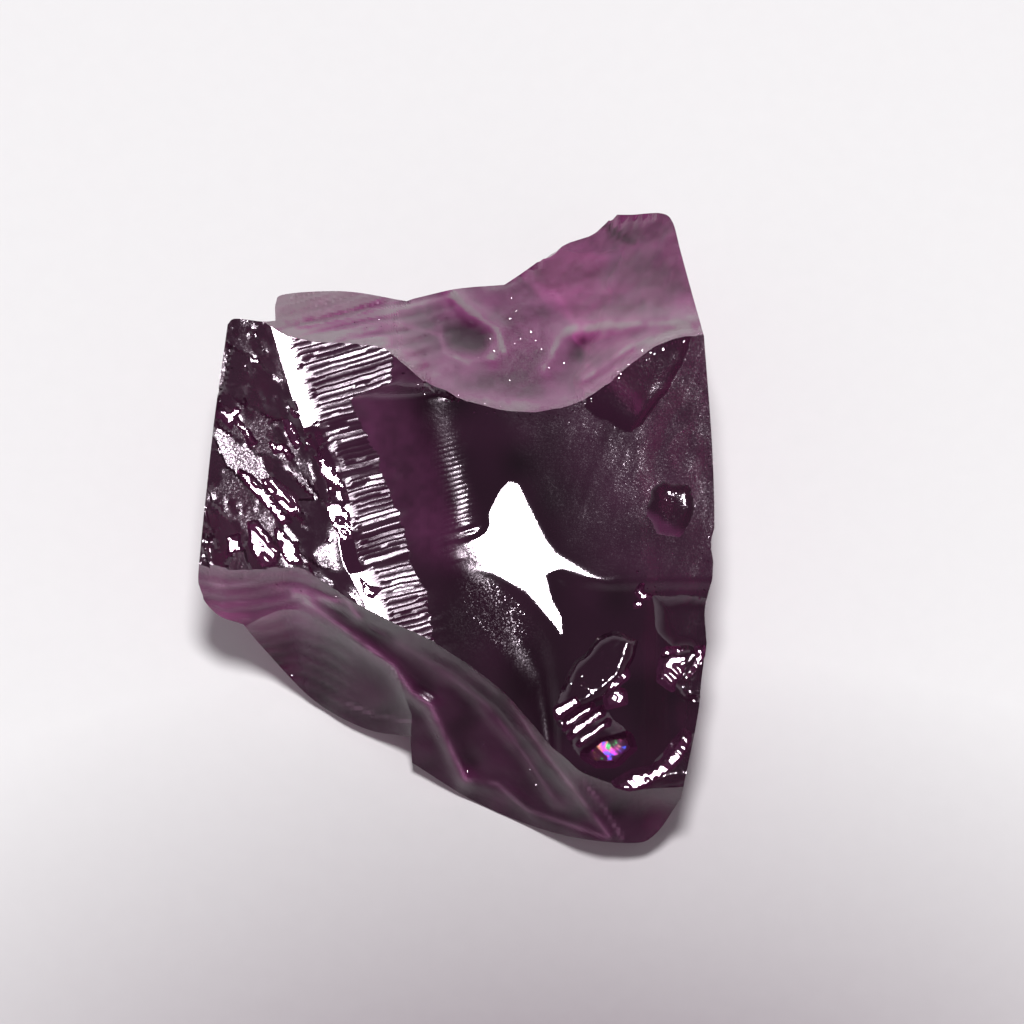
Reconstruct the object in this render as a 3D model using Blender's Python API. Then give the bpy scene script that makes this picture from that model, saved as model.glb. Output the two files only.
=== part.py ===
"""Rough alexandrite: one glassy lump of broken chrysoberyl, resting on its broken base.

The lump is made the way the real one was. A blank with the lump's plan outline is knocked
down by fractures. Each fracture is a hollow, rippled or stepped surface, and all that lies
outside it is taken away. One solid stays, with sharp arrises, flake scars and steps.

Shape numbers are millimetres. The broad glassy break on top is the table. It leans towards
-Y, and the outline, the arrises and the flakes are laid out in its plane: x across, y up
the lean, z out of the stone.
"""

import math

import bmesh
import bpy
import numpy as np
from mathutils import Matrix, Vector

NAME = "stone"
MM = 0.001

# Driving dimensions, in millimetres and degrees
TABLE_LEAN = 25.0
TABLE_CENTRE = (0.05, -4.22, 13.0)
TABLE_SLOPE = 0.17
BLANK_ABOVE = 6.0
BLANK_BELOW = 32.0
CUTTER_REACH = 40.0
CURVE_STEPS = 4
FAR = 18.0

CRYSTAL_COLOUR = (0.075, 0.028, 0.06, 1)
CRYSTAL_ROUGHNESS = 0.12
CRYSTAL_METALLIC = 0.0

# Spacing of the facets on each kind of surface
SCALE_CELL = 0.62
STAR_CELL = 0.85
WALL_CELL = 0.5
CHIP_CELL = 0.34
HIDDEN_CELL = 1.15

# Where each kind of surface has its rows and columns of facets
TABLE_X, TABLE_Y = (-17, 17), (-19, 15)
SCALY_OFFSETS, SCALY_END = (-10.5, 0.3), 30
COMB_OFFSETS = (-12, -1.3, 0, 0.7, 1.6, 2.5, 3.4, 6.5, 30)
BLOCK_Y = (-8, 13)
WALL_X = (-16, 16)
WALL_ROWS = (
    -1.6, -0.3, 0.2, 0.5, 0.9, 1.4, 1.9, 2.5, 3.1, 3.7, 4.4, 5.1, 6, 7, 8.2, 9.4, 10.8, 13,
)
SCOOP_X, SCOOP_Y = (-16, 0), (-20, -2.5)
TIP_X, TIP_Y = (2, 17), (-20, -8)
HIDDEN_SPAN = (-26, 26)
LINE_SAMPLES = 800
MERGE = 0.001 * MM

# Plan outline of the blank, one run of points for each stretch between two corners
OUTLINE_RUNS = [
    [(-12.1, 10.7), (-12.8, 5.6), (-13.5, -1.0), (-13.6, -3.3), (-12.7, -4.6), (-11.3, -5.15)],
    [(-11.3, -5.15), (-10.3, -6.4), (-7.7, -9.15), (-4.9, -10.7), (-2.5, -11.1)],
    [(-2.5, -11.1), (-2.4, -12.5)],
    [(-2.4, -12.5), (1.2, -14.7), (5.2, -16.2), (9.1, -16.7), (10.5, -16.2), (11.8, -14.3)],
    [(11.8, -14.3), (12.8, -9.1), (13.5, -2.0), (13.5, 3.5), (13.05, 10.1)],
    [
        (13.05, 10.1), (12.5, 12.3), (11.9, 14.7), (11.5, 16.3), (10.9, 16.8), (9.4, 16.75),
        (7.6, 16.65), (6.1, 15.6), (3.8, 13.85), (2.5, 12.95),
    ],
    [(2.5, 12.95), (-0.1, 12.7), (-2.7, 12.05)],
    [(-2.7, 12.0), (-5.9, 12.5), (-9.05, 12.35), (-9.6, 11.9), (-9.6, 10.9)],
    [(-9.6, 10.9), (-10.3, 10.85), (-11.7, 11.0), (-12.1, 10.7)],
]

# Arrises that bound the table, as (x, y) along them
UPPER_ARRIS = [
    (-16, 13.5), (-10.3, 10.9), (-9.05, 10.1), (-7.5, 9.75), (-5.6, 9.7), (-3.85, 9.5),
    (-2.9, 8.7), (-1.4, 7.4), (0.4, 6.7), (2.25, 6.2), (4.1, 6.05), (5.95, 6.4), (7.5, 7.2),
    (9.1, 8.5), (10.4, 9.5), (11.7, 10.0), (13.05, 10.2), (16, 10.2),
]
FRONT_ARRIS = [
    (-16, -1.3), (-13.4, -1.85), (-12.2, -2.25), (-10.6, -2.25), (-8.4, -2.05), (-7.2, -2.7),
    (-5.6, -3.85), (-3.8, -4.8), (-1.4, -5.95), (0.7, -7.25), (2.5, -8.7), (3.85, -10.2),
    (5.0, -11.6), (6.5, -13.0), (8.05, -13.75), (9.6, -14.1), (11.8, -14.4), (16, -14.4),
]

# The table's left block: a scaly facet, a smooth crest strip, and a comb of hackle.
# The lines between them are given as (y, x) up the table.
CREST = [
    (-8.0, -3.0), (-3.9, -4.4), (-1.75, -5.5), (0.4, -5.9), (2.4, -6.4), (4.6, -7.3),
    (6.9, -8.2), (10.1, -9.15), (14.0, -10.4),
]
COMB_EDGE = [
    (-8.0, -0.4), (-5.9, -1.2), (-3.1, -1.6), (-0.9, -2.9), (1.3, -3.2), (3.5, -4.3),
    (5.6, -5.4), (6.9, -5.8), (7.5, -3.6), (9.6, -3.2), (14.0, -3.0),
]
CREST_COS = 0.94
CREST_STRIP = 0.5
SCALY_SLOPE = 0.16
COMB_WALL_SLOPE = 0.42
COMB_PITCH = 0.5
COMB_DEPTH = 0.07
COMB_TILT = 0.3
COMB_FADE = 0.6

# Scales of the left facet: their number, lean, and the way they are drawn out
SCALE_COUNT = 70
SCALE_LEAN = 0.11
SCALE_TURN = math.radians(-47)
SCALE_STRETCH = 2.2
SCALE_FADE = 0.6

# The high facet of the table, shaped like a star, and how the table falls away round it
STAR = [
    (2.75, 2.5), (3.3, 2.3), (3.75, 1.4), (4.75, -0.6), (5.3, -1.35), (8.0, -3.0), (5.5, -2.2),
    (4.75, -2.45), (5.1, -3.8), (6.0, -5.4), (5.5, -5.8), (4.5, -4.6), (3.6, -3.5), (2.0, -2.5),
    (0.1, -1.9), (-0.5, -1.1), (0.9, -0.75), (1.5, 0.5), (2.2, 1.9),
]
STAR_DROP = 0.8
STAR_SHOULDER = 0.25
STAR_REACH = 3.5
STAR_SLOPE = 0.07
WALL_ROUNDING = 0.12

# Fall of a wall below its arris: steady slope, depth of the rounded shoulder, how far the
# shoulder reaches, and the slope inside the arris, where the sheet stands clear of the stone
UPPER_FALL = (1.45, 1.9, 1.2, 3.0)
FRONT_FALL = (0.9, 1.5, 0.9, 2.6)

# How far below the arris a wall's relief starts, and where it is all there
UPPER_EASE = (0.1, 0.9)
FRONT_EASE = (0.3, 1.2)

# Ridges and hollows of the walls: (line they follow, half width, height or depth)
HOLLOW_RIDGES = [
    ([(-0.4, 12.7), (0.6, 11.6), (2.1, 10.5), (2.0, 9.2)], 0.45, 0.45),
    ([(14.0, 11.0), (8.2, 10.8), (5.7, 10.4), (4.6, 8.4)], 0.55, 0.4),
    ([(6.7, 7.9), (9.2, 9.6), (12.4, 10.6)], 0.4, 0.3),
]
HOLLOW_PITS = [
    ((0.4, 10.1), (1.7, 0.9), 0.7),
    ((6.6, 9.4), (0.7, 1.1), 0.5),
    ((8.6, 14.0), (3.0, 2.8), 0.9),
]
FOLD_PITCH = 0.95
FOLD_DEPTH = 0.16
FOLD_LEAN = 0.21
FOLD_FADE = (-1.0, 2.0)
FRONT_RIDGES = [
    ([(-2.4, -8.7), (-1.0, -9.7), (0.4, -13.6)], 0.5, 0.35),
    ([(0.5, -13.4), (2.6, -13.9), (4.2, -15.2), (7.6, -16.6)], 0.4, 0.25),
    ([(-4.0, -5.6), (-0.5, -7.6), (3.4, -11.6), (5.8, -15.2)], 1.2, -0.5),
]

# Ledges behind the upper hollow: (line it starts at, drop, slope that it takes back)
LEDGES = [
    ([(-10.4, 10.2), (-8.6, 10.5), (-5.6, 11.1), (-2.6, 12.1)], 1.3, 1.25),
    ([(1.2, 12.6), (2.6, 12.65), (4.6, 13.75)], 0.6, 1.2),
    ([(8.0, 16.0), (9.4, 16.25), (10.7, 16.3)], 0.6, 1.2),
]
LEDGE_ROUNDING = 0.3

# Scoop under the lip at the front left, and the dark facet at the front tip
SCOOP = [
    (-16, -5.6), (-11.3, -5.3), (-10.3, -4.75), (-9.3, -4.35), (-8.2, -4.4), (-5.9, -5.7),
    (-3.3, -7.4), (-2.4, -9.9), (-2.5, -12.5), (-2.5, -20), (-16, -20),
]
SCOOP_DEPTH = 1.6
SCOOP_REACH = 1.1
SCOOP_RIM_SLOPE = 1.5
TIP = [
    (3.6, -10.2), (5.2, -12.2), (7.0, -14.5), (8.8, -16.6), (10, -20), (18, -20), (18, -9), (6, -9),
]
TIP_SLOPE = 0.5

# Chips of the table: outline, depth, and how far in from its rim a chip reaches that depth
CHIPS = {
    "arc_chip": ([
        (6.1, -7.3), (6.8, -6.6), (7.4, -5.8), (8.1, -5.45), (8.8, -5.5), (9.5, -5.95),
        (9.3, -7.0), (8.7, -8.1), (7.5, -9.1), (6.2, -9.7), (5.2, -9.7), (5.4, -8.6),
    ], 0.42, 0.5),
    "right_chip": ([
        (10.2, 2.0), (11.0, 2.5), (12.3, 2.1), (12.6, 0.9), (11.8, -0.6), (10.5, -0.4), (10.0, 0.7),
    ], 0.38, 0.45),
    "dark_chip": ([
        (10.2, -3.6), (12.9, -3.6), (14.5, -4.2), (14.5, -6.6), (11.3, -6.3), (10.5, -5.2),
    ], 0.3, 0.3),
    "glassy_chip": ([
        (10.7, -6.6), (12.2, -6.2), (14.5, -6.8), (14.5, -9.6), (12.1, -9.1), (10.8, -8.0),
    ], 0.55, 0.5),
    "toe_chip": ([
        (8.4, -13.3), (10.2, -12.6), (11.4, -11.2), (14.0, -10.4), (14.0, -13.4), (11.2, -13.9),
        (9.4, -14.2),
    ], 0.6, 0.9),
    "step_chip": ([
        (5.2, -10.1), (6.4, -9.6), (7.9, -9.7), (9.2, -11.0), (8.6, -12.4), (7.1, -12.5), (6.0, -11.4),
    ], 0.5, 1.1),
    "arris_chip": ([(-1.8, 7.5), (-0.8, 6.9), (0.2, 6.5), (-0.5, 7.6), (-1.6, 8.4)], 0.35, 0.2),
    "hollow_chip": ([
        (6.7, 6.4), (7.6, 5.7), (8.5, 5.2), (9.3, 5.0), (9.9, 5.4), (10.6, 6.6), (12.1, 8.6),
        (12.6, 11.0), (9.6, 11.0), (7.4, 8.4),
    ], 0.22, 0.5),
}
CHIP_MARGIN = 0.6
CHIP_RIM_SLOPE = 1.2

# Breaks of the sides and the underside: a point on each, measured from the spot on the base
# below the table's centre, the way it faces, its hollow's centre, radius and ripple
HIDDEN_BREAKS = {
    "left_break": ((-12.95, 4.0, 12.0), (-1, 0.20, -0.20), (0, 0), 90, 0.2),
    "left_under_break": ((-11.6, 2.0, 4.4), (-0.62, -0.12, -0.78), (-3, 2), 40, 0.2),
    "front_under_break": ((-8.2, -6.6, 0.7), (-0.50, -0.55, -0.66), (0, 0), 45, 0.15),
    "right_break": ((12.9, -2.0, 9.0), (1, 0.02, -0.20), (-5, 3), 120, 0.2),
    "right_under_break": ((12.2, 3.0, 3.0), (0.75, 0.05, -0.66), (5, 0), 50, 0.2),
    "horn_break": ((12.8, 14.5, 10.0), (0.96, 0.10, -0.20), (0, 0), 80, 0.15),
    "horn_under_break": ((9.0, 22.6, 3.4), (0.05, 0.80, -0.60), (0, 0), 40, 0.2),
    "back_break": ((4.0, 19.5, 5.0), (-0.45, 0.85, 0.20), (0, 0), 32, 0.2),
    "back_corner_break": ((-10.9, 13.0, 8.0), (-0.75, 0.62, 0.06), (0, 0), 60, 0.2),
}
RIPPLE_PITCH = 2.8
RIPPLE_REACH = 4 * RIPPLE_PITCH


def blended(x, points, width=0.5):
    """Value at x of a line through points, its corners eased over width."""
    px, py = np.array(points, float).T
    fine = np.linspace(px[0], px[-1], LINE_SAMPLES)
    line = np.interp(fine, px, py)
    reach = max(1, int(width / (fine[1] - fine[0])))
    kernel = np.hanning(2 * reach + 3)
    padded = np.pad(line, reach + 1, mode="edge")
    return np.interp(x, fine, np.convolve(padded, kernel / kernel.sum(), mode="valid"))


def eased(x, low, high):
    """0 below low, 1 above high, and smooth between them."""
    t = np.clip((x - low) / (high - low), 0, 1)
    return t * t * (3 - 2 * t)


def distance_to(x, y, points):
    """Distance from a line through points."""
    nearest = np.full(np.shape(x), np.inf)
    for (ax, ay), (bx, by) in zip(points, points[1:]):
        dx, dy = bx - ax, by - ay
        t = np.clip(((x - ax) * dx + (y - ay) * dy) / (dx * dx + dy * dy), 0, 1)
        nearest = np.minimum(nearest, np.hypot(x - ax - t * dx, y - ay - t * dy))
    return nearest


def depth_inside(x, y, outline):
    """Distance in from a closed outline, negative outside it."""
    inside = np.zeros(np.shape(x), bool)
    for (ax, ay), (bx, by) in zip(outline, outline[1:] + outline[:1]):
        if ay != by:
            crosses = (ay > y) != (by > y)
            inside ^= crosses & (x < ax + (y - ay) * (bx - ax) / (by - ay))
    distance = distance_to(x, y, outline + outline[:1])
    return np.where(inside, distance, -distance)


def right_of(x, y, line):
    return (x - blended(y, line)) * CREST_COS


def scaly_side(x, y):
    return -TABLE_SLOPE * y + SCALY_SLOPE * (right_of(x, y, CREST) + CREST_STRIP)


def comb_strip(x, y):
    return -TABLE_SLOPE * y


def star_fall(x, y):
    """Level of the star facet and of the table that falls away all round it."""
    outside = np.maximum(-depth_inside(x, y, STAR), 0)
    shoulder = STAR_SHOULDER * (1 - np.exp(-outside / STAR_REACH))
    return -STAR_DROP - shoulder - STAR_SLOPE * outside


def star_side(x, y):
    """The star and its flanks, and the wall that drops to them from the comb."""
    wall = np.clip(-COMB_WALL_SLOPE * right_of(x, y, COMB_EDGE), -4, 4)
    level = np.logaddexp(wall / WALL_ROUNDING, star_fall(x, y) / WALL_ROUNDING)
    return -TABLE_SLOPE * y + WALL_ROUNDING * level


def table(x, y):
    return np.minimum(np.minimum(scaly_side(x, y), comb_strip(x, y)), star_side(x, y))


def scales(x, y):
    """Small facets, each leaning its own way, like the scales of a fish."""
    chance = np.random.default_rng(7)
    centres = chance.uniform((-15, -8), (-2, 13), (SCALE_COUNT, 2))
    leans = chance.normal(0, SCALE_LEAN, (SCALE_COUNT, 2))
    turn = np.cos(SCALE_TURN), np.sin(SCALE_TURN)
    height = np.zeros(np.shape(x))
    nearest = np.full(np.shape(x), np.inf)
    for (cx, cy), lean in zip(centres, leans):
        dx, dy = x - cx, y - cy
        lengthwise = (dx * turn[0] + dy * turn[1]) / SCALE_STRETCH
        distance = np.hypot(lengthwise, dy * turn[0] - dx * turn[1])
        height = np.where(distance < nearest, lean[0] * dx + lean[1] * dy, height)
        nearest = np.minimum(nearest, distance)
    return height


def ridges(x, y, lines):
    total = 0.0
    for line, width, height in lines:
        total = total + height * np.exp(-((distance_to(x, y, line) / width) ** 2))
    return total


def fall(beyond, shape):
    """How far a wall has dropped at this distance beyond its arris."""
    slope, shoulder, reach, inside = shape
    down = np.maximum(beyond, 0)
    dropped = slope * down + shoulder * (1 - np.exp(-down / reach))
    return np.where(beyond > 0, dropped, inside * beyond)


def upper_hollow(x, beyond):
    """Steep under the table's upper arris, then flattening towards the back."""
    arris = blended(x, UPPER_ARRIS)
    y = arris + beyond
    folds = np.sin(2 * np.pi * (y - FOLD_LEAN * x) / FOLD_PITCH) * eased(-x, *FOLD_FADE)
    relief = FOLD_DEPTH * folds + ridges(x, y, HOLLOW_RIDGES)
    for (cx, cy), (wide, tall), depth in HOLLOW_PITS:
        relief = relief - depth * np.exp(-(((x - cx) / wide) ** 2) - ((y - cy) / tall) ** 2)
    for line, drop, slope in LEDGES:
        past = depth_inside(x, y, [*line, (line[-1][0], FAR), (line[0][0], FAR)])
        ledge = slope * past - drop * eased(past, 0, LEDGE_ROUNDING)
        relief = relief + np.where(past > 0, ledge, 0)
    level = table(x, np.minimum(y, arris)) - fall(beyond, UPPER_FALL)
    return y, level + relief * eased(beyond, *UPPER_EASE)


def front_wall(x, below):
    """A rounded shoulder under the table's front arris, then a long hollow wall."""
    arris = blended(x, FRONT_ARRIS)
    y = arris - below
    relief = ridges(x, y, FRONT_RIDGES) * eased(below, *FRONT_EASE)
    return y, table(x, np.maximum(y, arris)) - fall(below, FRONT_FALL) + relief


def front_wall_at(x, y):
    return front_wall(x, blended(x, FRONT_ARRIS) - y)[1]


def scoop(x, y):
    inside = depth_inside(x, y, SCOOP)
    hollow = SCOOP_DEPTH * (1 - np.exp(-np.maximum(inside, 0) / SCOOP_REACH))
    return front_wall_at(x, y) - np.where(inside > 0, hollow, SCOOP_RIM_SLOPE * inside)


def tip(x, y):
    return front_wall_at(x, y) - TIP_SLOPE * depth_inside(x, y, TIP)


def chip(outline, depth, reach):
    def surface(x, y):
        inside = depth_inside(x, y, outline)
        hollow = depth * (1 - np.exp(-np.maximum(inside, 0) / reach))
        return table(x, y) - np.where(inside > 0, hollow, CHIP_RIM_SLOPE * inside)

    return surface


def shell_break(centre, radius, ripple):
    """A hollow round centre, with rings round it that die away."""

    def surface(x, y):
        r = np.hypot(x - centre[0], y - centre[1])
        rings = ripple * np.cos(2 * np.pi * r / RIPPLE_PITCH)
        return r**2 / (2 * radius) + rings * np.exp(-r / RIPPLE_REACH)

    return surface


def spaced(low, high, step):
    return np.linspace(low, high, round((high - low) / step) + 1)


def table_frame():
    lean = Matrix.Rotation(math.radians(TABLE_LEAN), 4, "X")
    return Matrix.Translation(Vector(TABLE_CENTRE) * MM) @ lean


def frame_at(point, facing):
    """Matrix of a plane that faces out along facing, through a point off the table's foot."""
    out = Vector(facing).normalized()
    across = Vector((0, 0, 1)).cross(out).normalized()
    matrix = Matrix((across, out.cross(across), out)).transposed().to_4x4()
    matrix.translation = (Vector(point) + Vector((TABLE_CENTRE[0], TABLE_CENTRE[1], 0))) * MM
    return matrix


def curved(run):
    """Points along a Catmull-Rom curve through run, without its last point."""
    points = [Vector(p) for p in run]
    ends = [2 * points[0] - points[1], *points, 2 * points[-1] - points[-2]]
    steps = CURVE_STEPS if len(run) > 2 else 1
    made = []
    for a, b, c, d in zip(ends, ends[1:], ends[2:], ends[3:]):
        for t in np.arange(steps) / steps:
            bend = (2 * a - 5 * b + 4 * c - d) * t**2 + (3 * b - a - 3 * c + d) * t**3
            made.append((2 * b + (c - a) * t + bend) / 2)
    return made


def outline_curve(collection):
    points = [p for run in OUTLINE_RUNS for p in curved(run)]
    curve = bpy.data.curves.new("outline", "CURVE")
    curve.dimensions = "2D"
    curve.fill_mode = "BOTH"
    curve.extrude = (BLANK_ABOVE + BLANK_BELOW) / 2 * MM
    spline = curve.splines.new("POLY")
    spline.points.add(len(points) - 1)
    for point, place in zip(spline.points, points):
        point.co = (place.x * MM, place.y * MM, 0, 1)
    spline.use_cyclic_u = True
    drawn = bpy.data.objects.new("outline", curve)
    middle = (BLANK_ABOVE - BLANK_BELOW) / 2 * MM
    drawn.matrix_world = table_frame() @ Matrix.Translation((0, 0, middle))
    collection.objects.link(drawn)
    return drawn


def blank(collection):
    """The outline drawn out square to the table, and broken off flat at the base."""
    drawn = outline_curve(collection)
    bpy.context.view_layer.update()
    evaluated = drawn.evaluated_get(bpy.context.evaluated_depsgraph_get())
    mesh = bpy.data.meshes.new_from_object(evaluated)
    mesh.transform(drawn.matrix_world)
    bpy.data.objects.remove(drawn)
    bm = bmesh.new()
    bm.from_mesh(mesh)
    bmesh.ops.remove_doubles(bm, verts=bm.verts, dist=MERGE)
    geom = [*bm.verts, *bm.edges, *bm.faces]
    base = {"plane_co": (0, 0, 0), "plane_no": (0, 0, 1)}
    sawn = bmesh.ops.bisect_plane(bm, geom=geom, clear_inner=True, **base)
    base_edges = [item for item in sawn["geom_cut"] if isinstance(item, bmesh.types.BMEdge)]
    bmesh.ops.contextual_create(bm, geom=base_edges)
    bmesh.ops.recalc_face_normals(bm, faces=bm.faces)
    bm.to_mesh(mesh)
    bm.free()
    mesh.name = NAME
    stone = bpy.data.objects.new(NAME, mesh)
    collection.objects.link(stone)
    return stone


def fracture(name, matrix, across, along, surface, collection):
    """Cutter for all that lies outside a sheet, whose grid runs across and along."""
    bm = bmesh.new()
    bmesh.ops.create_grid(bm, x_segments=len(across) - 1, y_segments=len(along) - 1, size=0.5)
    unit = np.array([v.co for v in bm.verts]) + 0.5
    u = np.interp(unit[:, 0] * (len(across) - 1), np.arange(len(across)), across)
    v = np.interp(unit[:, 1] * (len(along) - 1), np.arange(len(along)), along)
    for vertex, place in zip(bm.verts, np.column_stack(surface(u, v))):
        vertex.co = Vector(place) * MM
    rim = [edge for edge in bm.edges if edge.is_boundary]
    wall = bmesh.ops.extrude_edge_only(bm, edges=rim)["geom"]
    for item in wall:
        if isinstance(item, bmesh.types.BMVert):
            item.co.z = CUTTER_REACH * MM
    bmesh.ops.contextual_create(bm, geom=[e for e in wall if isinstance(e, bmesh.types.BMEdge)])
    bmesh.ops.recalc_face_normals(bm, faces=bm.faces)
    mesh = bpy.data.meshes.new(name)
    bm.to_mesh(mesh)
    bm.free()
    cutter = bpy.data.objects.new(name, mesh)
    cutter.matrix_world = matrix
    cutter.hide_render = True
    cutter.display_type = "WIRE"
    collection.objects.link(cutter)
    return cutter


def over(surface):
    """Sheet of a surface given as z = surface(x, y)."""
    return lambda x, y: (x, y, surface(x, y))


def under(wall):
    """Sheet of a wall whose rows follow its arris."""
    return lambda x, down: (x, *wall(x, down))


def scaly_sheet(s, y):
    x = blended(y, CREST) + s / CREST_COS
    fade = eased(-s, CREST_STRIP, CREST_STRIP + SCALE_FADE)
    return x, y, scaly_side(x, y) + scales(x, y) * fade


def comb_sheet(s, row):
    """Rows run across the strip in steps of half a tooth, so every other row is a valley."""
    x = blended(row, CREST) + s / CREST_COS
    y = row + COMB_TILT * s
    teeth = COMB_DEPTH * np.cos(2 * np.pi * row / COMB_PITCH) * eased(s, 0, COMB_FADE)
    return x, y, comb_strip(x, y) + teeth


def table_breaks(collection):
    frame = table_frame()
    offsets = np.append(spaced(*SCALY_OFFSETS, SCALE_CELL), SCALY_END)
    scaly_rows = spaced(*BLOCK_Y, SCALE_CELL)
    comb_rows = spaced(*BLOCK_Y, COMB_PITCH / 2)
    across, along = spaced(*TABLE_X, STAR_CELL), spaced(*TABLE_Y, STAR_CELL)
    return [
        fracture("scaly_break", frame, offsets, scaly_rows, scaly_sheet, collection),
        fracture("comb_break", frame, COMB_OFFSETS, comb_rows, comb_sheet, collection),
        fracture("star_break", frame, across, along, over(star_side), collection),
    ]


def wall_breaks(collection):
    frame = table_frame()
    across = spaced(*WALL_X, WALL_CELL)
    scoop_across, scoop_along = spaced(*SCOOP_X, STAR_CELL), spaced(*SCOOP_Y, STAR_CELL)
    tip_across, tip_along = spaced(*TIP_X, STAR_CELL), spaced(*TIP_Y, STAR_CELL)
    return [
        fracture("upper_hollow_break", frame, across, WALL_ROWS, under(upper_hollow), collection),
        fracture("front_wall_break", frame, across, WALL_ROWS, under(front_wall), collection),
        fracture("scoop_break", frame, scoop_across, scoop_along, over(scoop), collection),
        fracture("tip_break", frame, tip_across, tip_along, over(tip), collection),
    ]


def chips(collection):
    frame = table_frame()
    made = []
    for name, (outline, depth, reach) in CHIPS.items():
        xs, ys = np.array(outline).T
        across = spaced(xs.min() - CHIP_MARGIN, xs.max() + CHIP_MARGIN, CHIP_CELL)
        along = spaced(ys.min() - CHIP_MARGIN, ys.max() + CHIP_MARGIN, CHIP_CELL)
        surface = over(chip(outline, depth, reach))
        made.append(fracture(name, frame, across, along, surface, collection))
    return made


def hidden_breaks(collection):
    cells = spaced(*HIDDEN_SPAN, HIDDEN_CELL)
    return [
        fracture(name, frame_at(point, facing), cells, cells, over(shell_break(*shape)), collection)
        for name, (point, facing, *shape) in HIDDEN_BREAKS.items()
    ]


def cut(stone, cutters):
    """The sheets cross at shallow angles, where the exact solver leaves open slivers."""
    for cutter in cutters:
        boolean = stone.modifiers.new(cutter.name, "BOOLEAN")
        boolean.operation = "DIFFERENCE"
        boolean.solver = "MANIFOLD"
        boolean.object = cutter


def crystal():
    made = bpy.data.materials.new("alexandrite")
    made.use_nodes = True
    shader = made.node_tree.nodes["Principled BSDF"]
    shader.inputs["Base Color"].default_value = CRYSTAL_COLOUR
    shader.inputs["Roughness"].default_value = CRYSTAL_ROUGHNESS
    shader.inputs["Metallic"].default_value = CRYSTAL_METALLIC
    return made


def collection_named(name):
    made = bpy.data.collections.new(name)
    bpy.context.scene.collection.children.link(made)
    return made


def main():
    for obj in list(bpy.data.objects):
        bpy.data.objects.remove(obj)
    parts = collection_named("rough_alexandrite")
    cutters = collection_named("cutters")
    stone = blank(parts)
    stone.data.materials.append(crystal())
    cut(stone, table_breaks(cutters) + wall_breaks(cutters))
    cut(stone, hidden_breaks(cutters) + chips(cutters))
    return stone


main()
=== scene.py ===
"""Rough alexandrite: one glassy, purple-black lump of broken chrysoberyl on a pale table.

The stone is knocked out of a blank by fractures, as the CAD solid is, with the same surfaces
cut much finer and with their hackle, scales, ripples, nicks and steps on them. Shape numbers
are millimetres in the plane of the broad break on top, the table: x across, y up the lean,
z out of the stone.
"""

import math

import bmesh
import bpy
import numpy as np
from mathutils import Matrix, Vector


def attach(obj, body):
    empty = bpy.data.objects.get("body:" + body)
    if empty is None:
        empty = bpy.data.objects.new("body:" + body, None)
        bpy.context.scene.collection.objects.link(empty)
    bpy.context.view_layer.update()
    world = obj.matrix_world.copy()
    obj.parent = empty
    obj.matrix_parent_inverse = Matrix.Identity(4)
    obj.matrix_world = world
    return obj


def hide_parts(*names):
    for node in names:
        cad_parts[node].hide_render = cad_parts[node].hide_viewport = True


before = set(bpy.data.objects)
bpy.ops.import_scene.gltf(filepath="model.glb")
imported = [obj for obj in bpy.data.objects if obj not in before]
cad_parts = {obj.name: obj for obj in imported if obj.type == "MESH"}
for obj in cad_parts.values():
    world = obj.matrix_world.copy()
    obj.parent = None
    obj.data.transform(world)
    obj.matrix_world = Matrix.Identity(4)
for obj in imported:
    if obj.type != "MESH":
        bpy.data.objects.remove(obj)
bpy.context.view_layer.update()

MM = 0.001
TABLE_LEAN = 25.0
TABLE_CENTRE = (0.05, -4.22, 13.0)
TABLE_SLOPE = 0.17
BLANK_ABOVE = 6.0
BLANK_BELOW = 32.0
CUTTER_REACH = 40.0
CURVE_STEPS = 8
LINE_STEPS = 800
FAR = 18.0

# Plan outline of the blank, one run of points for each stretch between two corners
OUTLINE_RUNS = [
    [(-12.1, 10.7), (-12.8, 5.6), (-13.5, -1.0), (-13.6, -3.3), (-12.7, -4.6), (-11.3, -5.15)],
    [(-11.3, -5.15), (-10.3, -6.4), (-7.7, -9.15), (-4.9, -10.7), (-2.5, -11.1)],
    [(-2.5, -11.1), (-2.4, -12.5)],
    [(-2.4, -12.5), (1.2, -14.7), (5.2, -16.2), (9.1, -16.7), (10.5, -16.2), (11.8, -14.3)],
    [(11.8, -14.3), (12.8, -9.1), (13.5, -2.0), (13.5, 3.5), (13.05, 10.1)],
    [
        (13.05, 10.1), (12.5, 12.3), (11.9, 14.7), (11.5, 16.3), (10.9, 16.8), (9.4, 16.75), (7.6, 16.65),
        (6.1, 15.6), (3.8, 13.85), (2.5, 12.95),
    ],
    [(2.5, 12.95), (-0.1, 12.7), (-2.7, 12.05)],
    [(-2.7, 12.0), (-5.9, 12.5), (-9.05, 12.35), (-9.6, 11.9), (-9.6, 10.9)],
    [(-9.6, 10.9), (-10.3, 10.85), (-11.7, 11.0), (-12.1, 10.7)],
]

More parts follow.
